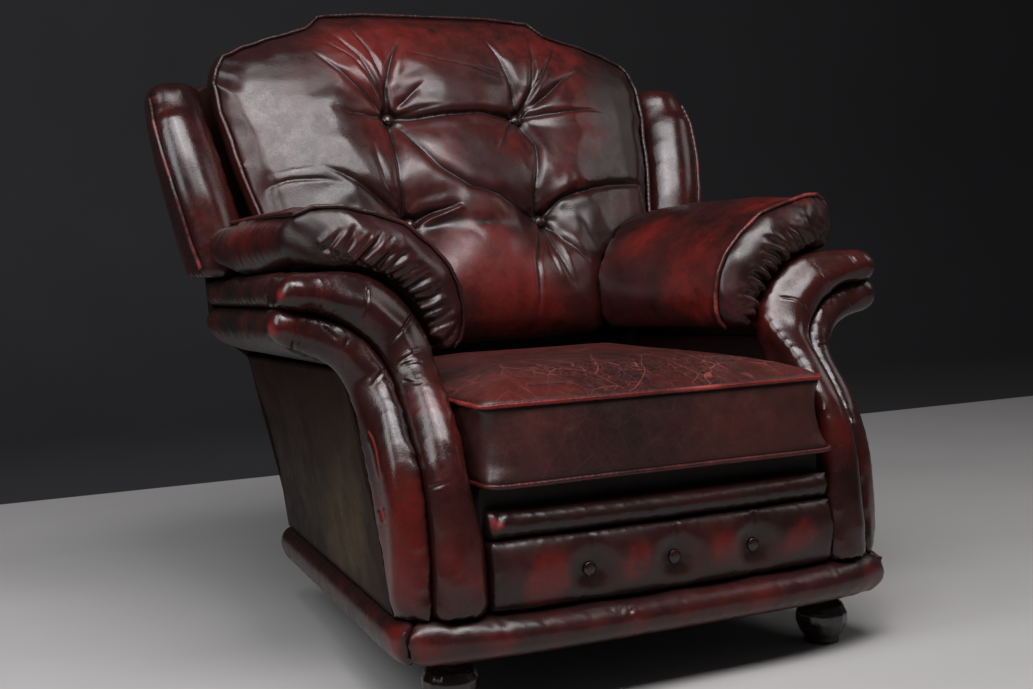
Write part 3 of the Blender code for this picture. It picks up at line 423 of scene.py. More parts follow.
class Clay:
    """The even copy of a node's solid; finer adds one subdivision, and no voxel size keeps crisp edges."""

    def __init__(self, node, voxel, rounds=14, finer=False, tilt=True):
        self.node = node
        mesh = nodes[node].data.copy()
        with opened(mesh) as work:
            bmesh.ops.remove_doubles(work, verts=work.verts, dist=SAME_POINT)
        self.piece = bpy.data.objects.new(f"{node}_hide", mesh)
        bpy.context.collection.objects.link(self.piece)
        if voxel:
            mesh.transform(TILT if tilt else Matrix())
            squares = self.piece.modifiers.new("even_squares", "REMESH")
            squares.mode, squares.voxel_size = "VOXEL", voxel
            self.apply_modifiers()
            self.piece.data.transform(TILT.inverted() if tilt else Matrix())
            self.read()
            own = BVHTree.FromPolygons(*SHAPES[node])
            self.at = np.array([own.find_nearest(p)[0] for p in self.at.tolist()])
            self.smooth(rounds)
            if finer:
                self.refine()
                self.smooth(EVENING_ROUNDS)
        else:
            self.cut_finer(LONGEST_EDGE[node == "outside_back"])
            self.read()

    def cut_finer(self, longest):
        """For thin flat panels with crisp edges: long edges are halved until none is longer than that."""
        with opened(self.piece.data) as work:
            for _ in range(MOST_HALVINGS):
                long_edges = [e for e in work.edges if e.calc_length() > longest]
                if not long_edges:
                    break
                bmesh.ops.subdivide_edges(work, edges=long_edges, cuts=1)
                bmesh.ops.triangulate(work, faces=[f for f in work.faces if len(f.verts) > 3])
        self.piece.data.validate()

    def apply_modifiers(self):
        solved = self.piece.evaluated_get(bpy.context.evaluated_depsgraph_get())
        mesh = bpy.data.meshes.new_from_object(solved)
        self.piece.modifiers.clear()
        self.piece.data = mesh

    def read(self):
        mesh = self.piece.data
        count = len(mesh.vertices)
        self.at = vectors(mesh.vertices, "co")
        ends = np.empty(len(mesh.edges) * 2, dtype=np.int64)
        mesh.edges.foreach_get("vertices", ends)
        self.a, self.b = ends.reshape(-1, 2).T.copy()
        self.near = np.maximum(np.bincount(ends, minlength=count), 1)
        self.marks = {name: np.zeros(count) for name in ("hollow", "glow", "rub", "web")}
        self.tree = None

    def average(self, field):
        if field.ndim == 1:
            count = len(self.at)
            total = np.bincount(self.a, field[self.b], count) + np.bincount(self.b, field[self.a], count)
            return total / self.near
        return np.stack([self.average(field[:, k]) for k in range(field.shape[1])], axis=1)

    def smooth(self, rounds):
        """In by 0.6, out by 0.62: bumps go and the size stays."""
        for _ in range(rounds):
            for step in (0.6, -0.62):
                self.at = self.at + (self.average(self.at) - self.at) * step

    def soften(self, field, rounds):
        for _ in range(rounds):
            field = 0.5 * field + 0.5 * self.average(field)
        return field

    def write_points(self):
        self.piece.data.vertices.foreach_set("co", self.at.ravel())
        self.piece.data.update()

    def normals(self, rounds=0):
        self.write_points()
        found = vectors(self.piece.data.vertex_normals, "vector")
        for _ in range(rounds):
            found = self.average(found) * 0.5 + found * 0.5
        return found / np.maximum(np.linalg.norm(found, axis=1), 1e-9)[:, None]

    def refine(self):
        """One subdivision, then the points are read again; the marks start over."""
        self.write_points()
        finer = self.piece.modifiers.new("finer", "SUBSURF")
        finer.levels = finer.render_levels = 1
        self.apply_modifiers()
        self.read()

    def finer_where(self, mask, rounds=2):
        """Splits the squares whose corners are all in the mask, and evens the new points out."""
        self.write_points()
        with opened(self.piece.data) as work:
            edges = [e for e in work.edges if mask[e.verts[0].index] and mask[e.verts[1].index]]
            bmesh.ops.subdivide_edges(work, edges=edges, cuts=1, use_grid_fill=True)
        self.read()
        self.smooth(rounds)


print("clay is turned by", [round(math.degrees(a)) for a in TILT.to_euler()], "degrees before it is cut")

# %% [markdown]
# ## Folds and marks
# A crease in leather is a narrow valley with a low bank on each side, and it fades at its ends. So a fold
# is a path laid on the surface, and each point moves by how far it lies from that path. The dark of the
# valley, glaze kept there and painted shade, is written down at the same time, so shape and colour can't
# come apart.

# %% Folds, swellings and marks
FAR, PATH_STEP = 9.0, 0.005


def weight_near(distance, width):
    return np.exp(-((distance / width) ** 2))


class Folded(Clay):
    """Clay that takes folds, swellings and marks, each laid along a path or round a spot."""

    def ready(self, rounds=4):
        """Fixes the directions that the folds push along."""
        self.lift = self.normals(rounds)
        self.tree = None

    def lay(self, path):
        """The path's points dropped on the nearest of the surface's own points, close together."""
        if self.tree is None:
            self.tree = KDTree(len(self.at))
            for k, p in enumerate(self.at):
                self.tree.insert(p, k)
            self.tree.balance()
        path = [np.array(p, float) for p in path]
        points = []
        for p, q in zip(path[:-1], path[1:]):
            parts = max(1, int(np.linalg.norm(q - p) / PATH_STEP))
            points += [p + (q - p) * k / parts for k in range(parts)]
        points.append(path[-1])
        found = np.array([self.tree.find(p)[0] for p in points])
        for _ in range(3):
            found[1:-1] = (found[:-2] + found[1:-1] * 2 + found[2:]) / 4
        return found

    def along(self, path, reach=0.05):
        """Each point's distance to the path, and how far along it that is, 0 to 1. Far points get FAR."""
        pieces = np.linalg.norm(np.diff(path, axis=0), axis=1)
        starts = np.concatenate([[0.0], np.cumsum(pieces)])
        best, where = np.full(len(self.at), FAR), np.zeros(len(self.at))
        inside = (self.at > path.min(0) - reach) & (self.at < path.max(0) + reach)
        near = np.all(inside, axis=1).nonzero()[0]
        at, close, place = self.at[near], np.full(len(near), FAR), np.zeros(len(near))
        for k, length in enumerate(pieces):
            if length < 1e-7:
                continue
            run = (path[k + 1] - path[k]) / length
            t = np.clip((at - path[k]) @ run, 0.0, length)
            off = at - path[k] - t[:, None] * run
            d = np.sqrt((off * off).sum(1))
            better = d < close
            close[better], place[better] = d[better], (starts[k] + t[better]) / starts[-1]
        best[near], where[near] = close, place
        return best, where

    def reach_of(self, paths):
        """The distance from each point to the nearest of several paths."""
        return np.min([self.along(np.array(path, float))[0] for path in paths], axis=0)

    def groove(self, path, width, depth, start=0.35, end=0.35, lip=0.3, dark=1.0, sharp=1.5):
        """A fold pressed in along the path, with the leather standing up a little on both sides of it."""
        distance, t = self.along(self.lay(path))
        rise = np.clip(t / max(start, 1e-3), 0, 1)
        fall = np.clip((1 - t) / max(end, 1e-3), 0, 1)
        power = np.sin(rise * np.pi / 2) * np.sin(fall * np.pi / 2)
        beyond = np.exp(-((distance / width) ** sharp))
        side = weight_near(distance - 3.0 * width, 1.9 * width)
        self.at = self.at + self.lift * ((side * lip - beyond) * depth * power)[:, None]
        # The valley is marked in hollow: glaze kept there, and painted shade.
        kept = power * dark * weight_near(distance, 0.8 * width)
        self.marks["hollow"] = np.maximum(self.marks["hollow"], kept)

    def ridge(self, path, width, height, start=0.35, end=0.35):
        self.groove(path, width, -height, start, end, 0.12, 0.0, 2.0)

    def crown(self, path, width, height):
        """Rounds a flat face: a smooth rise along the path, fading at both of its ends."""
        distance, t = self.along(np.array(path, float), 3.5 * width)
        power = np.clip(t / 0.04, 0, 1) * np.clip((1 - t) / 0.05, 0, 1)
        self.at = self.at + self.lift * (weight_near(distance, width) * height * power)[:, None]

    def swell(self, centre, radius, height):
        distance = np.linalg.norm(self.at - np.array(centre), axis=1)
        self.at = self.at + self.lift * (weight_near(distance, radius) * height)[:, None]

    def blot(self, mark, centre, radius, strength, squeeze=(1, 1, 1)):
        distance = np.linalg.norm((self.at - np.array(centre)) / np.array(squeeze), axis=1)
        self.marks[mark] = self.marks[mark] + weight_near(distance, radius) * strength

    def blots(self, mark, *spots, side=1):
        """Several blots, each a place x, y, z, a radius and a power; side -1 mirrors them."""
        for x, y, z, radius, power in spots:
            self.blot(mark, (side * x, y, z), radius, power)

    def streak(self, mark, path, width, strength):
        distance, _ = self.along(np.array(path, float))
        self.marks[mark] = self.marks[mark] + weight_near(distance, width) * strength


print("folds:", [name for name in vars(Folded) if not name.startswith("_")])

# %% [markdown]
# ## A finished cover
# Before a cover is handed over it is drawn back towards its own solid, so nothing floats or swells into
# the next piece. Then its shape is read once more: valleys keep glaze and get painted shade, ridges are
# rubbed, and the last centimetre before a neighbour is darkened with painted shade, along with the glaze
# that gathers at a seam.

# %% Covers
NEXT_TO, STRAIGHT_BEHIND, GAP, USUAL_EDGE = 0.02, 0.95, 0.0004, 0.0033
# How deep or how proud counts in full, over a few squares and over a wider patch.
SUNK, PROUD = (0.00035, 0.0016), (0.0006, 0.003)


class Cover(Folded):
    """A folded copy that can be fitted to its place, given its leather and handed over."""

    def stay_clear(self, spare=0.004, loose=False):
        """Draws the cover back to within spare of its own solid, in soft moves. A loose one, which was
        filled, is drawn out of its neighbours too."""
        own = BVHTree.FromPolygons(*SHAPES[self.node])
        others = neighbours(self.node) if loose else None
        for spread in (6, 1) if loose else (3,):
            wanted = np.empty_like(self.at)
            for k, p in enumerate(self.at.tolist()):
                point = Vector(p)
                hit, face_normal, _, _ = own.find_nearest(point)
                out = (point - hit).dot(face_normal)
                if out > spare:
                    point = hit + (point - hit) * (spare / max((point - hit).length, 1e-9))
                if loose:
                    hit, face_normal, _, distance = others.find_nearest(point, NEXT_TO)
                    behind = hit is not None and (point - hit).dot(face_normal) < -STRAIGHT_BEHIND * distance
                    if hit is not None and (behind or distance < GAP):
                        point = hit + face_normal * GAP
                wanted[k] = point
            self.at = self.at + self.soften(wanted - self.at, spread)

    def close(self, material, fill=None, near_glaze_and_shade=0.012, edge_rub=0.6):
        """Reads hollows and ridges off the finished shape, darkens hollows and what lies near a neighbour
        (glaze and painted shade), writes all.
        """
        edge = np.linalg.norm(self.at[self.a] - self.at[self.b], axis=1).mean()
        lift = self.normals() * min(1.0, (USUAL_EDGE / edge) ** 2)
        fine = ((self.average(self.average(self.at)) - self.at) * lift).sum(1)
        wide = self.at
        for _ in range(10):
            wide = self.average(wide)
        wide = ((wide - self.at) * lift).sum(1)
        fine, wide = self.soften(fine, 2), self.soften(wide, 2)
        # Sunk places are darkened through the hollow mark: glaze kept there, and painted shade.
        sunk = np.clip(fine / SUNK[0], 0, 1) * 0.5 + np.clip(wide / SUNK[1], 0, 1) * 0.8
        proud = np.clip(-fine / PROUD[0], 0, 1) * 0.4 + np.clip(-wide / PROUD[1], 0, 1) * 0.5
        self.marks["hollow"] = np.clip(np.maximum(self.marks["hollow"], sunk), 0, 1)
        self.marks["rub"] = np.clip(self.marks["rub"] + proud * edge_rub, 0, 1)
        # Near a neighbour the hollow mark is raised: painted shade where pieces meet, with the glaze of the
        # seam.
        if near_glaze_and_shade:
            tree = neighbours(self.node)
            gap = np.array([tree.find_nearest(p, near_glaze_and_shade * 2.5)[3] or FAR for p in self.at.tolist()], float)
            self.marks["hollow"] = np.clip(self.marks["hollow"] + 0.75 * weight_near(gap, near_glaze_and_shade), 0, 1)
        mesh = self.piece.data
        self.write_points()
        for name, values in self.marks.items():
            layer = mesh.attributes.new(name, "FLOAT", "POINT")
            layer.data.foreach_set("value", np.clip(values, 0, 1).astype(np.float32))
        mesh.materials.clear()
        mesh.materials.append(material)
        mesh.polygons.foreach_set("use_smooth", np.ones(len(mesh.polygons), dtype=bool))
        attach(self.piece, "root")
        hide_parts(self.node)
        return self.piece


print("a loose cover is drawn out of any neighbour within", NEXT_TO, "m, to leave a gap of", GAP)

# %% [markdown]
# ## Filling a cover
# A cushion's cover is cut flat, and gets its shape from the filling that pushes it out. The cloth solver
# does the same with a pressure inside a closed mesh. The points along the seams are pinned by a vertex
# group, since the frame or the piping holds them, and a few frames are enough for the panels to crown.

# %% Filling a cover
FRAMES, QUALITY, HIDE_MASS = 10, 3, 0.35
STRETCH, SHEAR, BEND = 12.0, 4.8, 0.6
SIMULATED = []


def fill_up(clay, held, cap, pressure=4.0):
    """Blows the cover up like a cushion being stuffed, its sewn points held still, with moves up to cap."""
    before = clay.at.copy()
    clay.write_points()
    piece = clay.piece
    group = piece.vertex_groups.new(name="sewn")
    group.add(np.where(held)[0].tolist(), 1.0, "REPLACE")
    cloth = piece.modifiers.new("filling", "CLOTH")
    settings = cloth.settings
    settings.quality, settings.mass = QUALITY, HIDE_MASS
    settings.tension_stiffness = settings.compression_stiffness = STRETCH
    settings.shear_stiffness, settings.bending_stiffness = SHEAR, BEND
    settings.use_pressure, settings.uniform_pressure_force = True, pressure
    settings.vertex_group_mass = "sewn"
    settings.effector_weights.gravity = 0.0
    cloth.collision_settings.use_collision = False
    cloth.point_cache.frame_start, cloth.point_cache.frame_end = 1, FRAMES
    scene = bpy.context.scene
    for number in range(1, FRAMES + 1):
        scene.frame_set(number)
    filled = piece.evaluated_get(bpy.context.evaluated_depsgraph_get())
    swollen = vectors(filled.to_mesh().vertices, "co")
    filled.to_mesh_clear()
    piece.modifiers.clear()
    piece.vertex_groups.clear()
    scene.frame_set(1)
    move = swollen - before
    length = np.linalg.norm(move, axis=1)
    move *= np.minimum(1.0, cap / np.maximum(length, 1e-9))[:, None]
    clay.at = before + move
    SIMULATED.append(clay.node)
    print(clay.node, "filled: mean move", round(float(length.mean()) * 1000, 1), "mm")


# %% [markdown]
# ## The buttoned back
# The back is one loose cushion of hide over soft filling, drawn in by four buttons tied through to the
# frame. Between two buttons the hide has nowhere to go, so it doubles up into a deep crease, and from
# each button shallower ones run out to the seam like rays. The solid already has the pits, so here each
# crease is laid on the surface along the line it takes, sharp at the button and fading as it reaches the
# full middle of a panel.

# %% Back cushion: buttons and creases
BUTTON_PITS = {"top_left": (-0.117, 0.262, 0.788), "top_right": (0.117, 0.262, 0.788),
               "low_left": (-0.117, 0.185, 0.618), "low_right": (0.117, 0.185, 0.618)}
TL, TR, LL, LR = (BUTTON_PITS[k] for k in ("top_left", "top_right", "low_left", "low_right"))
BACK_FOLDS = (
    # path, width, depth, share of the path over which it starts, the same for its end, lip
    ((TL, (-0.076, 0.237, 0.791), (-0.036, 0.225, 0.797), (0.037, 0.227, 0.802), TR),
     0.0050, 0.0125, 0.05, 0.05, 0.45),
    ((TR, (0.192, 0.232, 0.802), (0.256, 0.241, 0.805), (0.291, 0.246, 0.798)),
     0.0042, 0.0085, 0.05, 0.7, 0.5),
    ((TL, (-0.132, 0.254, 0.844), (-0.154, 0.284, 0.892), (-0.190, 0.318, 0.935)),
     0.0038, 0.0075, 0.05, 0.45, 0.6),
    ((TL, (-0.122, 0.259, 0.853), (-0.135, 0.292, 0.906), (-0.156, 0.324, 0.944)),
     0.0034, 0.0060, 0.05, 0.4, 0.6),
    ((TL, (-0.116, 0.258, 0.845), (-0.099, 0.278, 0.884), (-0.072, 0.304, 0.925)),
     0.0044, 0.0110, 0.05, 0.4, 0.5),
    ((TL, (-0.155, 0.249, 0.829), (-0.188, 0.266, 0.864), (-0.232, 0.292, 0.901)),
     0.0050, 0.0080, 0.05, 0.5, 0.4),
    ((TL, (-0.140, 0.262, 0.850), (-0.168, 0.284, 0.890), (-0.210, 0.306, 0.920)),
     0.0030, 0.0045, 0.2, 0.4, 0.8),
    ((TL, (-0.084, 0.245, 0.825), (-0.047, 0.252, 0.854)), 0.0042, 0.0065, 0.05, 0.7, 0.5),
    ((TL, (-0.067, 0.235, 0.807), (-0.016, 0.229, 0.815)), 0.0032, 0.0040, 0.1, 0.6, 0.6),
    ((TL, (-0.191, 0.231, 0.799), (-0.230, 0.239, 0.809)), 0.0060, 0.0055, 0.05, 0.8, 0.3),
    ((TL, (-0.124, 0.201, 0.730), (-0.128, 0.179, 0.690), (-0.126, 0.179, 0.634), LL),
     0.0048, 0.0095, 0.05, 0.05, 0.5),
    ((TL, (-0.079, 0.194, 0.737), (-0.061, 0.178, 0.713), (-0.016, 0.163, 0.680), (0.035, 0.156, 0.666),
      (0.079, 0.160, 0.633), LR), 0.0085, 0.0095, 0.3, 0.05, 0.3),
    ((TR, (0.132, 0.211, 0.745), (0.124, 0.189, 0.711), (0.112, 0.177, 0.670), (0.109, 0.179, 0.634), LR),
     0.0042, 0.0085, 0.05, 0.05, 0.55),
    ((TR, (0.066, 0.202, 0.753), (0.047, 0.184, 0.727)), 0.0030, 0.0035, 0.1, 0.7, 0.6),
    ((TR, (0.148, 0.252, 0.837), (0.161, 0.269, 0.872), (0.175, 0.310, 0.928)),
     0.0038, 0.0095, 0.05, 0.4, 0.6),
    ((TR, (0.114, 0.261, 0.854), (0.103, 0.284, 0.892), (0.082, 0.310, 0.930)),
     0.0046, 0.0085, 0.05, 0.45, 0.5),
    ((TR, (0.159, 0.256, 0.849), (0.203, 0.289, 0.894), (0.230, 0.312, 0.924)),
     0.0034, 0.0060, 0.1, 0.45, 0.6),
    ((TR, (0.172, 0.248, 0.830), (0.211, 0.265, 0.854), (0.255, 0.280, 0.873)),
     0.0052, 0.0110, 0.05, 0.6, 0.45),
    ((LR, (0.152, 0.168, 0.654), (0.192, 0.170, 0.667), (0.249, 0.184, 0.675), (0.341, 0.212, 0.676)),
     0.0062, 0.0135, 0.05, 0.25, 0.5),
    ((LR, (0.122, 0.132, 0.571), (0.132, 0.104, 0.532), (0.141, 0.099, 0.512)),
     0.0045, 0.0100, 0.05, 0.5, 0.6),
    ((LR, (0.139, 0.147, 0.590), (0.163, 0.124, 0.567), (0.181, 0.117, 0.550)),
     0.0045, 0.0090, 0.05, 0.6, 0.6),
    ((LR, (0.105, 0.122, 0.562), (0.112, 0.102, 0.527)), 0.0032, 0.0050, 0.1, 0.7, 0.6),
    ((LR, (0.074, 0.109, 0.554), (0.067, 0.092, 0.506), (0.063, 0.090, 0.465)),
     0.0032, 0.0050, 0.1, 0.4, 0.8),
    ((LL, (-0.086, 0.166, 0.637), (-0.062, 0.154, 0.645), (-0.035, 0.151, 0.653)),
     0.0050, 0.0100, 0.05, 0.35, 0.7),
    ((LL, (-0.168, 0.166, 0.659), (-0.197, 0.176, 0.684), (-0.228, 0.189, 0.702), (-0.259, 0.200, 0.714)),
     0.0070, 0.0110, 0.05, 0.6, 0.4),
    ((LL, (-0.156, 0.170, 0.680), (-0.163, 0.189, 0.722), (-0.163, 0.214, 0.761)),
     0.0032, 0.0035, 0.1, 0.6, 0.6),
    ((LL, (-0.106, 0.145, 0.585), (-0.099, 0.118, 0.560)), 0.0045, 0.0060, 0.05, 0.7, 0.5),
    ((LL, (-0.150, 0.165, 0.600), (-0.185, 0.150, 0.580)), 0.0050, 0.0070, 0.05, 0.7, 0.5),
    (((-0.346, 0.215, 0.678), (-0.305, 0.204, 0.691), (-0.260, 0.193, 0.693), (-0.223, 0.182, 0.686)),
     0.0045, 0.0045, 0.4, 0.4, 0.6),
    (((-0.330, 0.215, 0.700), (-0.290, 0.206, 0.707), (-0.262, 0.197, 0.712)), 0.0032, 0.0025, 0.4, 0.4, 0.6),
    (((-0.083, 0.289, 0.902), (-0.010, 0.275, 0.886), (0.059, 0.266, 0.873), (0.118, 0.263, 0.859)),
     0.0022, 0.0018, 0.2, 0.2, 0.8),
)
print("creases in the back cushion:", len(BACK_FOLDS))

# %% Back cushion: rays round a button
# The back leans: its face goes back by this much for each metre up.
BACK_SLOPE = 0.45
RAYS, RAY_START, RAY_END, RAY_WIDTH, RAY_DEPTH = 11, 0.008, 0.050, 0.0032, 0.0014


def rays(clay, centre, turn, rng):
    """Short pulls of hide running out from a button, between the main creases."""
    for k in range(RAYS):
        angle = turn + 2 * math.pi * (k + rng.uniform(-0.3, 0.3)) / RAYS
        far = RAY_END * rng.uniform(0.6, 1.1)
        line = [(centre[0] + math.cos(angle) * r, centre[1] + BACK_SLOPE * math.sin(angle) * r - 0.25 * r,
                 centre[2] + math.sin(angle) * r) for r in (RAY_START, (RAY_START + far) / 2, far)]
        clay.groove(line, RAY_WIDTH, RAY_DEPTH * rng.uniform(0.5, 1.0), 0.1, 0.8, 0.6, 0.35)


print("rays round each button:", RAYS)

# %% Back cushion: ridges and glow
BACK_RIDGES = (
    (((-0.104, 0.170, 0.616), (-0.082, 0.160, 0.628), (-0.058, 0.150, 0.638), (-0.034, 0.148, 0.648)),
     0.0050, 0.0065, 0.3, 0.25),
    (((0.135, 0.170, 0.640), (0.160, 0.165, 0.668), (0.185, 0.178, 0.700)), 0.0120, 0.0050, 0.4, 0.6))
BACK_GLOWS = (
    # x, y, z, radius, power
    (-0.071, 0.299, 0.914, 0.06, 0.9), (-0.127, 0.222, 0.755, 0.06, 0.65), (-0.028, 0.110, 0.561, 0.08, 0.75),
    (0.031, 0.089, 0.495, 0.09, 0.9), (-0.035, 0.192, 0.745, 0.05, 0.45), (0.245, 0.224, 0.771, 0.06, 0.5),
    (0.180, 0.181, 0.702, 0.05, 0.6), (-0.171, 0.273, 0.877, 0.055, 0.7), (0.229, 0.294, 0.896, 0.07, 0.8),
    (0.082, 0.209, 0.754, 0.045, 0.55), (0.150, 0.310, 0.930, 0.07, 0.7), (-0.160, 0.300, 0.930, 0.06, 0.6),
    (0.020, 0.330, 0.955, 0.07, 0.6), (-0.010, 0.150, 0.640, 0.05, 0.3))
print("ridges:", len(BACK_RIDGES), "glowing places:", len(BACK_GLOWS))

# %% Back cushion: filled and folded
# A leaning plane, given by y and z of a point on it, parts the face that is filled from the rest. Along
# the top seam the hide is pulled into shallow waves.
PLANE_Y, PLANE_Z, TOP_PULLS = 0.2246, 0.60, 15


def back_cushion():
    clay = Cover("back_cushion", 0.0092, 8)
    to_button = np.min([np.linalg.norm(clay.at - spot, axis=1) for spot in (TL, TR, LL, LR)], axis=0)
    behind = clay.at[:, 1] > PLANE_Y + BACK_SLOPE * (clay.at[:, 2] - PLANE_Z) - 0.004
    fill_up(clay, behind | (to_button < 0.016), 0.007)
    clay.refine()
    clay.smooth(2)
    clay.finer_where((clay.reach_of([fold[0] for fold in BACK_FOLDS]) < 0.015) & (clay.at[:, 1] < 0.33))
    clay.ready(5)
    for spot in (TL, TR, LL, LR):
        clay.swell(spot, 0.015, -0.006)
    for path, width, depth, start, end, lip in BACK_FOLDS:
        clay.groove(path, width * 0.95, depth * 0.72, start, end, lip * 0.35, 0.75, 1.15)
    for path, width, height, start, end in BACK_RIDGES:
        clay.ridge(path, width, height, start, end)
    rng = np.random.default_rng(5)
    for spot in (TL, TR, LL, LR):
        rays(clay, spot, rng.uniform(0, 1), rng)
    for _ in range(TOP_PULLS):
        x, length = rng.uniform(-0.21, 0.21), rng.uniform(0.02, 0.06)
        pull = ((x, 0.330, 0.950), (x * 0.94, 0.310, 0.950 - length))
        clay.groove(pull, 0.0060, 0.0012, 0.3, 0.7, 0.3, 0.0)
    clay.smooth(1)
    clay.stay_clear(0.006, loose=True)
    clay.blots("glow", *BACK_GLOWS)
    return clay.close(OXBLOOD, fill=0.8, edge_rub=0.3)


print("back cushion faces:", len(back_cushion().data.polygons))

# %% [markdown]
# ## The loose seat cushion
# A boxed cushion: a top and a bottom panel, a band round the side, and piping over both seams. Years of
# sitting have dried the top into a web of pale creases, deepest behind the front edge, and rubbed it
# redder than any other panel. The cover is filled by simulation first, so the panels crown and the seams pull
# in, and the creases that follow people's legs are pressed in one by one.

# %% Seat cushion: creases
SEAT_CREASES = (
    ((0.115, -0.243, 0.424), (0.091, -0.324, 0.415), (0.080, -0.368, 0.398)),
    ((0.028, -0.222, 0.426), (-0.004, -0.325, 0.415), (-0.011, -0.369, 0.397)),
    ((-0.010, -0.225, 0.426), (-0.041, -0.329, 0.414), (-0.050, -0.367, 0.399)),
    ((0.087, -0.229, 0.425), (0.012, -0.324, 0.415), (-0.030, -0.367, 0.399)),
    ((-0.192, -0.328, 0.413), (-0.132, -0.327, 0.414), (-0.076, -0.361, 0.403)),
    ((-0.128, -0.265, 0.423), (-0.038, -0.271, 0.423), (0.042, -0.298, 0.419)),
    ((0.140, -0.301, 0.418), (0.140, -0.348, 0.408), (0.154, -0.366, 0.399)),
    ((0.119, -0.283, 0.421), (0.187, -0.308, 0.417)))
# The front corners of the band are rounder than its solid, since the filling never reaches into them.
CORNER_ROUNDS = 120
SMALL_ON_TOP, SMALL_ON_BAND, AT_CORNER = 34, 16, 7
print("deep creases in the seat:", len(SEAT_CREASES), "small ones:", SMALL_ON_TOP + SMALL_ON_BAND + AT_CORNER)


# %% Seat cushion: filled and folded
def seat_cushion():
    clay = Cover("seat_cushion", 0.0094, 3, tilt=False)
    z = clay.at[:, 2]
    seam = (np.abs(z - 0.394) < 0.006) | (z < 0.2975)
    inner = (np.abs(clay.at[:, 0]) < 0.225) & (np.abs(clay.at[:, 1] + 0.145) < 0.195)
    fill_up(clay, seam & ~(inner & (z > 0.35)), 0.006, pressure=3.0)
    clay.refine()
    clay.smooth(2)
    x, y, z = clay.at.T
    corner = np.clip((np.abs(x) - 0.195) / 0.03, 0, 1) * np.clip((-0.315 - y) / 0.03, 0, 1)
    corner *= np.clip((0.386 - z) / 0.012, 0, 1) * np.clip((z - 0.302) / 0.012, 0, 1)
    for _ in range(CORNER_ROUNDS):
        clay.at = clay.at + (clay.average(clay.at) - clay.at) * (corner * 0.7)[:, None]
    clay.ready(3)
    rng = np.random.default_rng(11)
    for path in SEAT_CREASES:
        clay.groove(path, 0.0040, 0.0022, 0.3, 0.2, 0.5, 0.25)
    for _ in range(SMALL_ON_TOP):
        x, y = rng.uniform(-0.22, 0.22), rng.uniform(-0.34, -0.08)
        turn, length, bend = rng.uniform(-0.9, 0.9), rng.uniform(0.03, 0.09), rng.uniform(-0.5, 0.5)
        line = [(x + math.sin(turn + bend * t) * length * t, y - math.cos(turn + bend * t) * length * t, 0.42)
                for t in (0, 0.5, 1)]
        clay.groove(line, 0.0040, 0.0006, 0.4, 0.4, 0.6, 0.05)
    for _ in range(SMALL_ON_BAND):
        x, z = rng.uniform(-0.24, 0.24), rng.uniform(0.31, 0.385)
        length, turn = rng.uniform(0.02, 0.06), rng.uniform(-0.5, 0.9)
        line = ((x, -0.38, z), (x + length * math.cos(turn), -0.38, z + length * math.sin(turn)))
        clay.groove(line, 0.0042, 0.0004, 0.4, 0.4, 0.5, 0.05)
    for k in range(AT_CORNER):
        z = 0.384 - 0.011 * k
        line = ((-0.262, -0.362, z), (-0.235, -0.376, z - 0.004), (-0.205, -0.378, z + 0.002))
        clay.groove(line, 0.0040, 0.0012, 0.3, 0.7, 0.6, 0.2)
    clay.smooth(1)
    clay.stay_clear(0.005, loose=True)
    top = np.clip((clay.at[:, 2] - 0.392) / 0.012, 0, 1)
    clay.marks["web"] = 0.13 + top * (0.35 + 0.6 * weight_near(clay.at[:, 1] + 0.36, 0.16))
    clay.marks["glow"] += top * (0.30 + 0.45 * weight_near(clay.at[:, 1] + 0.375, 0.035))
    clay.marks["rub"] += top * 0.55 * weight_near(clay.at[:, 1] + 0.385, 0.022)
    clay.blot("glow", (-0.20, -0.34, 0.41), 0.07, 0.5)
    clay.blot("glow", (0.00, -0.02, 0.42), 0.12, 0.5, (2.0, 1, 1))
    clay.marks["hollow"] += 0.22 * (1 - top)
    clay.blots("glow", (0.10, -0.378, 0.362, 0.045, 0.35), (0.18, -0.378, 0.355, 0.045, 0.4),
               (-0.02, -0.378, 0.372, 0.045, 0.25), (-0.11, -0.378, 0.36, 0.045, 0.25))
    return clay.close(SEAT_HIDE, fill=0.85, edge_rub=0.5, near_glaze_and_shade=0.006)


print("seat cushion faces:", len(seat_cushion().data.polygons))

# %% [markdown]
# ## Arm pillows and their gathers
# Each arm top is a bolster whose front is closed by a narrow strip of hide. The strip is longer than the
# edge it is sewn to, so the spare length is eaten up in gathers: some two dozen sharp little pleats that
# start at the roll below and fade before the piping. They are laid between two lines, the lower and the
# upper edge of that strip, each with its own length, so no two are alike.

# %% Arm pillows: the gathered strip
GATHER_LOW = ((0.256, 0.462), (0.264, 0.480), (0.273, 0.500), (0.284, 0.519), (0.300, 0.538), (0.319, 0.555),
              (0.342, 0.568), (0.366, 0.577), (0.392, 0.586), (0.420, 0.594))
GATHER_HIGH = ((0.226, 0.480), (0.231, 0.496), (0.238, 0.515), (0.248, 0.536), (0.262, 0.556), (0.280, 0.578),
               (0.302, 0.600), (0.330, 0.618), (0.366, 0.624), (0.404, 0.620))


def on_line(line, t):
    place = t * (len(line) - 1)
    k = min(int(place), len(line) - 2)
    return tuple(a + (b - a) * (place - k) for a, b in zip(line[k], line[k + 1]))


print("the strip runs from", on_line(GATHER_LOW, 0), "to", on_line(GATHER_HIGH, 1))

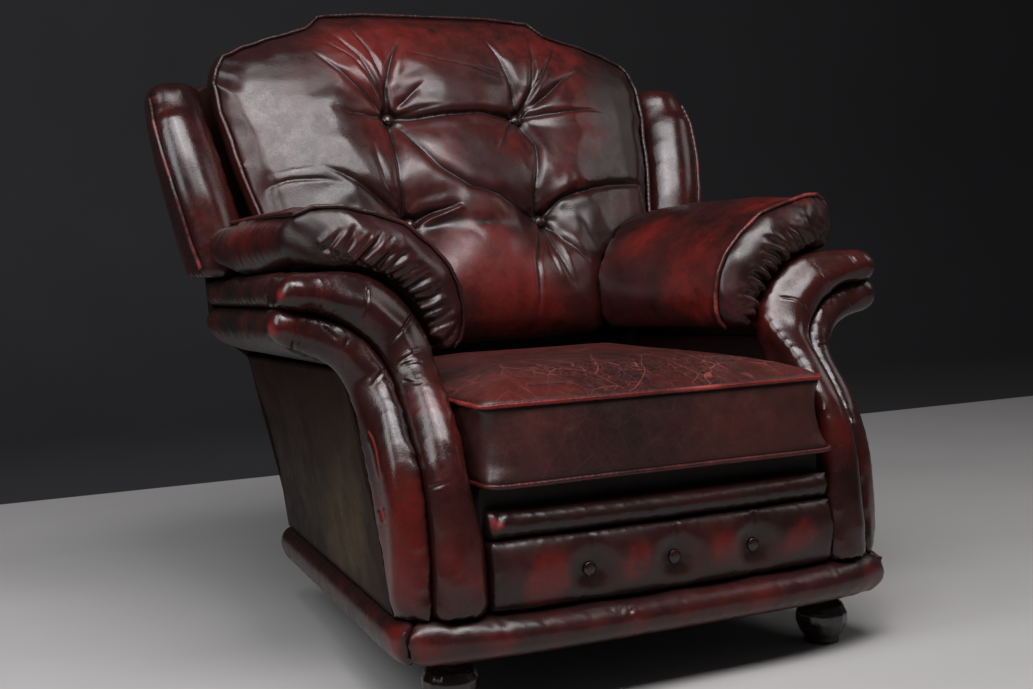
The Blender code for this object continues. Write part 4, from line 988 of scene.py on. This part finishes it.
# %% Arm pillows: rubbed and glowing places
PILLOW_SPOTS = {
    "left": {"rub": ((-0.44, 0.06, 0.615, 0.030, 0.45),),
             "glow": ((-0.43, 0.02, 0.625, 0.06, 0.9), (-0.43, -0.10, 0.62, 0.05, 0.6),
                      (-0.30, -0.05, 0.62, 0.08, 0.4), (-0.36, -0.20, 0.60, 0.04, 0.6),
                      (-0.22, -0.10, 0.50, 0.06, 0.6))},
    "right": {"rub": ((0.206, -0.165, 0.485, 0.030, 0.45), (0.36, -0.20, 0.640, 0.030, 0.40),
                      (0.42, -0.19, 0.635, 0.035, 0.40)),
              "glow": ((0.208, -0.150, 0.500, 0.07, 0.9), (0.227, 0.041, 0.585, 0.05, 0.7),
                       (0.227, -0.102, 0.570, 0.07, 0.55), (0.38, -0.13, 0.645, 0.07, 0.8),
                       (0.31, -0.16, 0.62, 0.05, 0.6), (0.259, 0.031, 0.608, 0.05, 0.4))}}
GATHERS, SMALL_CREASES = 24, 14
print("gathers:", GATHERS, "rubbed and glowing places:", {
    name: sum(len(spots) for spots in marks.values()) for name, marks in PILLOW_SPOTS.items()})


# %% Arm pillows: filled and gathered
def arm_pillow(side_name, side):
    node = f"arm_pillow_{side_name}"
    clay = Cover(node, 0.0088, 6)
    face = clay.at[:, 1] < -0.17
    low = clay.at[:, 2] < 0.30 + 0.62 * np.abs(clay.at[:, 0])
    fill_up(clay, face | low, 0.006, pressure=3.5)
    clay.refine()
    clay.smooth(2)
    clay.finer_where(clay.at[:, 1] < -0.165)
    clay.ready(4)
    clay.swell((side * 0.425, 0.03, 0.615), 0.085, 0.011)
    clay.swell((side * 0.425, -0.07, 0.625), 0.060, 0.005)
    if side > 0:
        clay.swell((0.452, -0.190, 0.615), 0.050, 0.009)
    rng = np.random.default_rng(21 if side < 0 else 22)
    for k in range(GATHERS):
        t = (k + 0.5 + rng.uniform(-0.25, 0.25)) / GATHERS
        low_at = on_line(GATHER_LOW, t)
        high_at = on_line(GATHER_HIGH, min(1.0, t + rng.uniform(-0.02, 0.02)))
        reach_up = rng.uniform(0.60, 1.20)
        top = [a + (b - a) * reach_up for a, b in zip(low_at, high_at)]
        bow = rng.uniform(-0.003, 0.003)
        middle = [(a + b) / 2 for a, b in zip(low_at, top)]
        line = [(side * low_at[0], -0.210, low_at[1]), (side * (middle[0] + bow), -0.224, middle[1] + bow),
                (side * top[0], -0.216, top[1])]
        fade = 0.6 if t > 0.8 else 1.0
        width, depth = rng.uniform(0.0021, 0.0032), rng.uniform(0.0044, 0.0078) * fade
        clay.groove(line, width, depth, 0.06, 0.75, 0.5, 0.7, 1.3)
    for _ in range(SMALL_CREASES):
        y, x = rng.uniform(-0.16, 0.10), rng.uniform(0.28, 0.42)
        turn, length = rng.uniform(-0.6, 0.6), rng.uniform(0.02, 0.05)
        z = 0.60 + 0.045 * math.sin(math.pi * (x - 0.22) / 0.24)
        line = [(side * x, y, z), (side * (x + length * math.cos(turn)), y + length * math.sin(turn), z)]
        clay.groove(line, 0.0045, 0.0010, 0.4, 0.5, 0.5, 0.1)
    clay.smooth(1)
    clay.stay_clear(0.011, loose=True)
    for mark, spots in PILLOW_SPOTS[side_name].items():
        clay.blots(mark, *spots)
    return clay.close(OXBLOOD, fill=0.75, edge_rub=0.35)


for side_name, side in (("left", -1), ("right", 1)):
    print("pillow", side_name, len(arm_pillow(side_name, side).data.polygons))

# %% [markdown]
# ## Front rolls and side bands
# Two stuffed rolls run side by side from the base, up the front of each arm, and turn outwards into blunt
# noses that meet the straight bands along the side. Where a roll bends, its cover has been tucked: a few
# short darts, sharp and dark, with the glaze worn red on their lips. The noses stick out where everyone
# brushes past, so they are rubbed brightest.

# %% Front rolls: darts
DARTS = {
    "inner_front_roll_left": (
        ((-0.428, -0.234, 0.543), (-0.425, -0.232, 0.531), (-0.418, -0.227, 0.516)),
        ((-0.359, -0.228, 0.543), (-0.365, -0.236, 0.525), (-0.372, -0.239, 0.505)),
        ((-0.289, -0.215, 0.506), (-0.318, -0.239, 0.488), (-0.340, -0.246, 0.467)),
        ((-0.296, -0.251, 0.457), (-0.313, -0.255, 0.452), (-0.330, -0.254, 0.444)),
        ((-0.301, -0.265, 0.443), (-0.313, -0.261, 0.443), (-0.326, -0.257, 0.441)),
        ((-0.337, -0.347, 0.295), (-0.325, -0.362, 0.300), (-0.312, -0.366, 0.304)),
        ((-0.329, -0.267, 0.424), (-0.322, -0.279, 0.420), (-0.312, -0.288, 0.417))),
    "outer_front_roll_left": (
        ((-0.458, -0.224, 0.500), (-0.459, -0.218, 0.481), (-0.455, -0.210, 0.462)),
        ((-0.391, -0.234, 0.480), (-0.397, -0.233, 0.465), (-0.394, -0.228, 0.439)),
        ((-0.345, -0.245, 0.440), (-0.357, -0.253, 0.429), (-0.367, -0.255, 0.416)),
        ((-0.354, -0.256, 0.425), (-0.346, -0.263, 0.417)),
        ((-0.419, -0.227, 0.497), (-0.412, -0.230, 0.486), (-0.403, -0.232, 0.478))),
    "inner_front_roll_right": (
        ((0.362, -0.228, 0.545), (0.376, -0.236, 0.526), (0.386, -0.232, 0.505)),
        ((0.431, -0.231, 0.556), (0.439, -0.233, 0.534), (0.438, -0.222, 0.515)),
        ((0.300, -0.227, 0.499), (0.326, -0.239, 0.493), (0.340, -0.246, 0.470))),
    "outer_front_roll_right": (
        ((0.427, -0.226, 0.484), (0.435, -0.226, 0.465)),
        ((0.348, -0.257, 0.425), (0.367, -0.252, 0.421)))}
print("darts:", {node: len(paths) for node, paths in DARTS.items()})

# %% Front rolls: rubbed and glowing places
ROLL_SPOTS = {
    "inner_front_roll_left": {
        "rub": ((-0.476, -0.226, 0.540, 0.013, 0.6),),
        "glow": ((-0.430, -0.230, 0.530, 0.05, 0.5), (-0.297, -0.309, 0.400, 0.05, 0.8),
                 (-0.330, -0.380, 0.215, 0.045, 0.6), (-0.290, -0.386, 0.170, 0.03, 0.5),
                 (-0.290, -0.350, 0.33, 0.05, 0.5))},
    "outer_front_roll_left": {
        "rub": ((-0.484, -0.212, 0.495, 0.015, 0.6),),
        "glow": ((-0.470, -0.22, 0.480, 0.05, 0.6), (-0.368, -0.335, 0.270, 0.055, 0.9),
                 (-0.372, -0.340, 0.190, 0.06, 1.0), (-0.350, -0.265, 0.410, 0.03, 0.4),
                 (-0.398, -0.232, 0.46, 0.018, 0.5))},
    "inner_front_roll_right": {
        "glow": ((0.262, -0.200, 0.460, 0.045, 0.9), (0.428, -0.212, 0.565, 0.03, 0.5),
                 (0.337, -0.206, 0.553, 0.04, 0.35), (0.30, -0.35, 0.30, 0.06, 0.6))},
    "outer_front_roll_right": {
        "rub": ((0.478, -0.212, 0.490, 0.016, 0.5),),
        "glow": ((0.372, -0.340, 0.240, 0.08, 0.8),)}}
print("marks on the rolls:", {node: list(marks) for node, marks in ROLL_SPOTS.items()})

# %% Front rolls: crests and the tear
# The line along the top of each roll, given for the right-hand arm and mirrored for the left.
CRESTS = {
    "inner": ((0.470, -0.230, 0.535), (0.424, -0.233, 0.530), (0.366, -0.236, 0.522),
              (0.322, -0.242, 0.488), (0.312, -0.258, 0.448), (0.310, -0.290, 0.410),
              (0.310, -0.335, 0.350), (0.310, -0.365, 0.290),
              (0.312, -0.382, 0.215), (0.316, -0.386, 0.150)),
    "outer": ((0.484, -0.212, 0.487), (0.455, -0.220, 0.482), (0.400, -0.233, 0.464),
              (0.364, -0.248, 0.436), (0.360, -0.278, 0.398), (0.362, -0.312, 0.335),
              (0.368, -0.335, 0.270), (0.372, -0.340, 0.190),
              (0.372, -0.340, 0.140))}
# The hide is torn where the left side panel is sewn to the roll.
TEARS = (((-0.380, -0.272, 0.362), (-0.380, -0.287, 0.350), (-0.380, -0.296, 0.330),
          (-0.380, -0.303, 0.305)),
         ((-0.380, -0.300, 0.266), (-0.380, -0.306, 0.250)))
CREST_WIDTH, CREST_HEIGHT, NOSE_FILL = 0.0165, 0.0060, {-1: 0.003, 1: 0.007}
print("crest points:", {name: len(line) for name, line in CRESTS.items()}, "tears:", len(TEARS))


# %% Front rolls: crowned and darted
def front_roll(node):
    clay = Cover(node, 0.0072, 66, finer=True)
    clay.ready(6)
    side = -1 if node.endswith("left") else 1
    crest = [(side * x, y, z) for x, y, z in CRESTS[node.split("_")[0]]]
    clay.crown(crest, CREST_WIDTH, CREST_HEIGHT)
    clay.smooth(8)
    torn = TEARS if node == "outer_front_roll_left" else ()
    clay.finer_where(clay.reach_of(DARTS[node] + torn) < 0.016, 1)
    clay.ready(3)
    for path in DARTS[node]:
        clay.groove(path, 0.0014, 0.0021, 0.2, 0.3, 0.15, 0.9, 1.2)
        clay.streak("rub", path, 0.0030, 0.20)
    for path in torn:
        clay.streak("rub", clay.lay(path), 0.0032, 1.0)
        clay.groove(path, 0.0028, 0.0012, 0.2, 0.2, 0.8, 0.0)
    nose = (side * 0.462, -0.236, 0.536) if node.startswith("inner") else (side * 0.470, -0.224, 0.490)
    clay.swell(nose, 0.026, NOSE_FILL[side])
    clay.stay_clear(0.009)
    for mark, spots in ROLL_SPOTS[node].items():
        clay.blots(mark, *spots)
    return clay.close(ROLL_HIDE, fill=0.9, edge_rub=0.25)


for node in DARTS:
    print(node, len(front_roll(node).data.polygons))


# %% Side bands
BANDS = {"upper": 0.535, "lower": 0.480}
# Each arm narrows towards the back and its top falls a little: metres per metre of depth, from y = -0.2 on.
ARM_FRONT, ARM_X, INWARD, DOWNWARD = -0.2, 0.478, 0.135, 0.045
BAND_PULLS = 7


def on_band(side, level, y):
    return side * (ARM_X - INWARD * (y - ARM_FRONT)), y, level - DOWNWARD * (y - ARM_FRONT)


def side_band(height, side_name):
    node = f"{height}_side_band_{side_name}"
    side = -1 if side_name == "left" else 1
    clay = Cover(node, 0.0096, 27, finer=True)
    clay.ready(3)
    rng = np.random.default_rng(41)
    for _ in range(BAND_PULLS):
        x, y, z = on_band(side, BANDS[height], rng.uniform(-0.12, 0.28))
        line = [(x, y, z + 0.018), (x + side * 0.004, y + rng.uniform(-0.006, 0.006), z),
                (x, y + rng.uniform(-0.008, 0.008), z - 0.018)]
        clay.groove(line, 0.0090, 0.0006, 0.5, 0.5, 0.3, 0.0)
    clay.stay_clear(0.003)
    for y in (-0.10, 0.02, 0.16, 0.28):
        clay.blot("glow", on_band(side, BANDS[height], y), 0.05, rng.uniform(0.15, 0.5))
    return clay.close(OXBLOOD, fill=0.85, edge_rub=0.35)


for height in BANDS:
    for side_name in ("left", "right"):
        print(height, side_name, len(side_band(height, side_name).data.polygons))

# %% [markdown]
# ## The apron: lip roll, buttoned border and base roll
# Under the seat a thin roll hides the edge of the springs, and below it a flat padded border is drawn in
# by three buttons. The cover pulls into a short tuck above and below each one. The glaze survives round
# the buttons and is worn to clear red in the four fields on either side of them.

# %% Lip roll
LIP_PULLS = 9


def lip_roll():
    clay = Cover("seat_lip_roll", 0.0074, 17, finer=True)
    clay.ready(3)
    fold = ((-0.263, -0.384, 0.241), (-0.253, -0.382, 0.253), (-0.250, -0.366, 0.261))
    clay.groove(fold, 0.0030, 0.0030, 0.2, 0.2, 0.5, 0.4)
    rng = np.random.default_rng(51)
    for _ in range(LIP_PULLS):
        x = rng.uniform(-0.24, 0.24)
        pull = ((x, -0.39, 0.256), (x + rng.uniform(-0.012, 0.012), -0.394, 0.238))
        clay.groove(pull, 0.0060, 0.0006, 0.4, 0.4, 0.3, 0.0)
    clay.stay_clear(0.003)
    clay.marks["hollow"] += 0.60
    clay.blot("rub", (-0.258, -0.384, 0.248), 0.010, 0.8)
    for x in (-0.12, 0.06, 0.19):
        clay.blot("glow", (x, -0.393, 0.240), 0.05, 0.25)
    return clay.close(OXBLOOD, fill=0.8, edge_rub=0.3)


print("lip roll faces:", len(lip_roll().data.polygons))

# %% Front border
APRON_BUTTONS, BUTTON_LEVEL, APRON_RAYS = (-0.129, 0.0, 0.129), 0.176, 10
RED_FIELDS = ((-0.190, -0.400, 0.178, 0.028, 1.7), (-0.205, -0.398, 0.160, 0.022, 0.9),
              (-0.060, -0.401, 0.180, 0.021, 1.6), (-0.075, -0.401, 0.165, 0.018, 0.8),
              (0.074, -0.401, 0.182, 0.022, 1.6), (0.208, -0.396, 0.180, 0.022, 1.6),
              (0.180, -0.398, 0.170, 0.018, 0.8))


def apron():
    clay = Cover("front_border", 0.0066, 7, finer=True)
    clay.ready(3)
    rng = np.random.default_rng(52)
    for x in (-0.20, -0.065, 0.065, 0.20):
        clay.swell((x, -0.400, 0.180), 0.042, 0.0035)
    for x in APRON_BUTTONS:
        clay.swell((x, -0.394, BUTTON_LEVEL), 0.014, -0.0020)
        tuck = ((x + 0.002, -0.398, 0.204), (x + 0.002, -0.394, 0.222))
        clay.groove(tuck, 0.0020, 0.0014, 0.5, 0.1, 0.3, 0.2)
        clay.streak("rub", ((x + 0.004, -0.396, 0.210), (x + 0.004, -0.392, 0.220)), 0.0025, 0.5)
        clay.groove(((x, -0.394, 0.166), (x - 0.001, -0.398, 0.146)), 0.0030, 0.0006, 0.1, 0.7, 0.5, 0.0)
        for k in range(APRON_RAYS):
            a = 2 * math.pi * (k + rng.uniform(-0.3, 0.3)) / APRON_RAYS
            ray = ((x + 0.010 * math.cos(a), -0.395, BUTTON_LEVEL + 0.010 * math.sin(a)),
                   (x + 0.028 * math.cos(a), -0.398, BUTTON_LEVEL + 0.022 * math.sin(a)))
            clay.groove(ray, 0.0040, 0.0005, 0.1, 0.8, 0.4, 0.0)
    clay.smooth(3)
    clay.stay_clear(0.006)
    clay.marks["hollow"] += 0.42
    clay.blots("glow", *RED_FIELDS)
    clay.blots("hollow", *((x, y, z, 1.1 * radius, -0.6) for x, y, z, radius, _ in RED_FIELDS))
    for x in APRON_BUTTONS:
        clay.blot("hollow", (x, -0.394, BUTTON_LEVEL), 0.010, 0.7)
    return clay.close(OXBLOOD, fill=0.6, edge_rub=0.25)


print("front border faces:", len(apron().data.polygons))


# %% Base rolls
ROLL_ENDS, BOWED_BY, HALF_ROLL, ROLL_PULLS = -0.354, 0.060, 0.37, 16
FRONT_GLOWS, SIDE_GLOWS = 11, 8


def bow(x):
    """How far forward the front roll stands: it is bowed, and flattest in the middle."""
    return ROLL_ENDS - BOWED_BY * (1 - abs(x / HALF_ROLL) ** 4)


def base_roll(node):
    clay = Cover(node, 0.0086, 45, finer=True)
    clay.ready(3)
    rng = np.random.default_rng(53)
    if node == "front_base_roll":
        for line in (((-0.085, -0.402, 0.130), (-0.093, -0.409, 0.124), (-0.101, -0.414, 0.116)),
                     ((-0.074, -0.405, 0.128), (-0.081, -0.411, 0.121), (-0.089, -0.415, 0.113))):
            clay.groove(line, 0.0026, 0.0020, 0.3, 0.3, 0.4, 0.3)
        for _ in range(ROLL_PULLS):
            x = rng.uniform(-0.33, 0.33)
            pull = ((x, bow(x) + 0.012, 0.130), (x + rng.uniform(-0.010, 0.010), bow(x), 0.112))
            clay.groove(pull, 0.0060, 0.0007, 0.4, 0.5, 0.3, 0.0)
        for k in range(FRONT_GLOWS):
            x = -0.33 + 0.066 * k
            clay.blot("glow", (x, bow(x), 0.094 + 0.004 * (k % 2)), 0.030, 0.40 + 0.4 * (k % 3 == 1))
        clay.blot("glow", (-0.365, -0.365, 0.108), 0.035, 0.8)
    else:
        side = -1 if node.endswith("left") else 1
        for k in range(SIDE_GLOWS):
            y = -0.32 + 0.085 * k
            at = (side * (0.388 - INWARD * (y - ARM_FRONT)), y, 0.105)
            clay.blot("glow", at, 0.04, rng.uniform(0.2, 0.7))
        clay.blot("glow", (side * 0.385, -0.350, 0.108), 0.040, 1.0)
    clay.stay_clear(0.004)
    return clay.close(OXBLOOD, fill=0.85, edge_rub=0.4)


for node in ("front_base_roll", "side_base_roll_left", "side_base_roll_right"):
    print(node, len(base_roll(node).data.polygons))

# %% [markdown]
# ## Wings, side panels and the outside back
# The wings are the ends of the back frame, padded and covered front and side, with piping down their
# outer edge. The large flat panels behind the arms are a plainer, browner hide, pulled over webbing and
# tacked, so they ripple faintly from one tack to the next. The left panel has been torn along its front
# seam.

# %% Wings
WING_CREST = ((0.415, 0.210, 0.590), (0.440, 0.250, 0.690), (0.465, 0.290, 0.800))


def wing(node):
    clay = Cover(node, 0.0088, 30, finer=True)
    clay.ready(6)
    side = -1 if node.endswith("left") else 1
    clay.crown([(side * x, y, z) for x, y, z in WING_CREST], 0.024, 0.006)
    clay.stay_clear(0.006)
    clay.blot("rub", (side * 0.484, 0.300, 0.822), 0.016, 0.4)
    clay.blots("glow", (0.47, 0.29, 0.80, 0.06, 0.5), (0.455, 0.270, 0.700, 0.06, 0.4),
               (0.43, 0.24, 0.64, 0.05, 0.3), side=side)
    return clay.close(ROLL_HIDE, fill=0.85, edge_rub=0.3)


for node in ("wing_left", "wing_right"):
    print(node, len(wing(node).data.polygons))


# %% Panels
def panel(node):
    clay = Cover(node, None)
    if node == "side_panel_left":
        for near in (0.035, 0.020, 0.012):
            clay.finer_where(clay.reach_of(TEARS) < near, 0)
    clay.ready()
    x, y, z = clay.at.T
    if node == "outside_back":
        ripple = 0.0012 * np.sin(x * 34) * np.sin((z - 0.13) * 9 + 0.6)
    else:
        ripple = 0.0011 * np.sin(y * 30 + z * 7) * np.sin((z - 0.13) * 10)
    flat_way = 1 if node == "outside_back" else 0
    face_on = np.clip((np.abs(clay.normals()[:, flat_way]) - 0.9) / 0.1, 0, 1)
    clay.at = clay.at + clay.lift * (ripple * face_on)[:, None]
    if node == "side_panel_left":
        for path in TEARS:
            clay.streak("rub", path, 0.0034, 1.0)
            clay.groove(path, 0.0030, 0.0016, 0.2, 0.2, 0.8, 0.0)
    side = -1 if node.endswith("left") else 1
    if node != "outside_back":
        clay.blots("glow", (0.36, -0.15, 0.20, 0.10, 0.8), (0.35, -0.02, 0.17, 0.10, 0.6),
                   (0.37, -0.20, 0.33, 0.09, 0.3), side=side)
    return clay.close(SIDE_HIDE, near_glaze_and_shade=0.009, edge_rub=0.15)


for node in ("side_panel_left", "side_panel_right", "outside_back"):
    print(node, len(panel(node).data.polygons))

# %% [markdown]
# ## Piping and buttons
# Piping is a cord sewn into a folded strip of hide. Standing proud of every seam, it takes all the wear,
# so on this chair it shows red to pink. The buttons are domes covered in scraps of hide, tucked under at
# the rim.

# %% Piping
RUBBED = {"seat_top_piping": 0.80, "seat_bottom_piping": 0.40, "arm_pillow_piping_left": 0.22,
          "arm_pillow_piping_right": 0.55, "back_cushion_piping": 0.08, "wing_piping_left": 0.35,
          "wing_piping_right": 0.35}
CARRIED_BY = {"seat_top_piping": "seat_cushion", "seat_bottom_piping": "seat_cushion",
              "back_cushion_piping": "back_cushion", "arm_pillow_piping_left": "arm_pillow_left",
              "arm_pillow_piping_right": "arm_pillow_right", "wing_piping_left": "wing_left",
              "wing_piping_right": "wing_right"}
CORD_RADIUS, SUNK_IN, LONGEST_PULL = 0.0036, 0.85, 0.008
MIDDLE_ROUNDS, MOVE_ROUNDS, RUBBED_SPOTS = 18, 25, 14


def hug(clay, carrier):
    """Draws a cord against the cover that it is sewn to, in a short smooth move along its whole length."""
    cover = bpy.data.objects[f"{carrier}_hide"].data
    tree = KDTree(len(cover.vertices))
    for k, v in enumerate(cover.vertices):
        tree.insert(v.co, k)
    tree.balance()
    middle = clay.at
    for _ in range(MIDDLE_ROUNDS):
        middle = clay.average(middle)
    move = np.zeros_like(clay.at)
    for k, point in enumerate(middle):
        near, _, distance = tree.find(point)
        pull = min(LONGEST_PULL, max(0.0, distance - CORD_RADIUS * SUNK_IN))
        move[k] = (np.array(near) - point) / max(distance, 1e-6) * pull
    for _ in range(MOVE_ROUNDS):
        move = clay.average(move)
    clay.at = clay.at + move
    return float(np.linalg.norm(move, axis=1).mean())


for node, worn in RUBBED.items():
    clay = Cover(node, 0.0023, 6)
    moved = hug(clay, CARRIED_BY[node])
    clay.ready()
    rng = np.random.default_rng(71)
    for _ in range(RUBBED_SPOTS):
        spot = clay.at[rng.integers(len(clay.at))]
        clay.blot("rub", spot, rng.uniform(0.015, 0.05), worn * rng.uniform(0.1, 0.5))
    clay.marks["rub"] += worn * 0.2
    clay.marks["glow"] += worn * (1.6 if node == "seat_top_piping" else 0.8)
    clay.close(PIPING_HIDE, near_glaze_and_shade=0.0, edge_rub=0.15)
    print(node, len(clay.piece.data.polygons), "moved", round(moved * 1000, 1), "mm")

# %% Buttons
TUCKS, TUCK_DEPTH, TUCK_FROM, FLATTENED = 12, 0.00022, 0.005, 0.72

for node in nodes:
    if "button" in node:
        clay = Cover(node, 0.0007, 5)
        clay.ready()
        low, high = (np.array(c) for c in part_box(node))
        across = (clay.at - (low + high) / 2)[:, (0, 2)]
        angle = np.arctan2(across[:, 1], across[:, 0])
        rim = np.clip((np.linalg.norm(across, axis=1) - TUCK_FROM) / 0.004, 0, 1)
        tuck = -TUCK_DEPTH * rim * (0.5 + 0.5 * np.cos(angle * TUCKS))
        clay.at = clay.at + clay.lift * tuck[:, None]
        if node.startswith("front"):
            clay.at[:, 1] = high[1] + (clay.at[:, 1] - high[1]) * FLATTENED
        clay.close(BUTTON_HIDE, near_glaze_and_shade=0.0, edge_rub=0.2)
        print(node, len(clay.piece.data.polygons))

# %% [markdown]
# ## Wood and cloth
# The feet are turned hardwood, dark and polished, with a fine grain along the turning. The frame is the
# same recipe left unpolished and dark with age. It shows a little from behind, and the dust cloth only
# from below, so these keep their solids and take a finish alone.

# %% Feet and what stays hidden
def wood(name, dark, pale, gloss, coat=0.0):
    r = Recipe(name)
    flow = r.noise(9.0, 3.0, 0.6, r.stretch((1.0, 1.0, 0.14)), 0.6)
    lines = r.noise(156.0, 2.0, 0.6, r.stretch((1.0, 1.0, 0.05)))
    mix = r.math("ADD", r.math("MULTIPLY", flow, 0.6), r.math("MULTIPLY", lines, 0.4))
    base = r.blend(r.span(mix, 0.32, 0.68), dark, pale)
    scratch = r.noise(70.0, 4.0, 0.7, r.stretch((1.0, 1.0, 4.0)))
    rough = r.span(scratch, 0.35, 0.7, gloss - 0.05, gloss + 0.14)
    normal = r.bump(lines, 0.12, 0.0008)
    r.shader.inputs["Coat Weight"].default_value = coat
    r.shader.inputs["Coat Roughness"].default_value = 0.12
    return r.finish(base, rough, normal)


def felt(name, dark, pale, weave):
    r = Recipe(name)
    threads = r.noise(weave, 3.0, 0.6)
    blotch = r.noise(12.0, 3.0)
    base = r.blend(r.span(threads, 0.3, 0.7), dark, pale)
    base = r.blend(r.span(blotch, 0.45, 0.75, 0.0, 0.5), base, dark)
    rough = r.span(threads, 0.2, 0.8, 0.82, 0.96)
    return r.finish(base, rough, r.bump(threads, 0.6, 0.0009))


FOOT_POLISH = wood("dark_polished_foot", (0.0060, 0.0035, 0.0030), (0.024, 0.011, 0.0075), 0.20, 0.4)
TIMBER = wood("aged_frame_timber", (0.016, 0.008, 0.005), (0.060, 0.032, 0.018), 0.60)
# The padding felt is coloured near black: painted shade for the dark gaps under the seat cushion's front and
# below the back cushion.
SHADE_DARK_FELT = felt("dark_padding_felt", (0.010, 0.0070, 0.0065), (0.030, 0.021, 0.019), 420.0)
DUST_CLOTH = felt("black_dust_cloth", (0.008, 0.008, 0.009), (0.026, 0.026, 0.028), 900.0)
INSIDE_HIDE = leather("inside_arm_hide", (0.0075, 0.0026, 0.0026), (0.020, 0.0040, 0.0038),
                      (0.05, 0.005, 0.004), (0.12, 0.012, 0.010), 0.34, 0.1, creases=0.4)

for node in nodes:
    if "foot" in node:
        clay = Cover(node, 0.0030, 3)
        clay.close(FOOT_POLISH, near_glaze_and_shade=0.0)
        print(node, len(clay.piece.data.polygons))

# %% Finishes for the solids that are kept
KEPT = {"frame_timber": TIMBER, "padding": SHADE_DARK_FELT, "dust_cloth": DUST_CLOTH, "oxblood_leather": INSIDE_HIDE}
replaced = {o.name.replace("_hide", "") for o in bpy.data.objects if o.name.endswith("_hide")}
for node, thing in nodes.items():
    if node not in replaced:
        finish = KEPT[SLOT_OF[node]]
        # The back board takes the same near black felt, painted shade in the gap below the back cushion.
        if node == "back_board":
            finish = SHADE_DARK_FELT
        elif node.startswith("arm_board"):
            finish = INSIDE_HIDE
        for slot in thing.material_slots:
            slot.material = finish
print("kept solids:", sorted(set(nodes) - replaced))

# %% [markdown]
# ## What was filled
# The last cell prints which covers were filled by the cloth solver.

# %% Finish
import json

print("simulated:", SIMULATED)
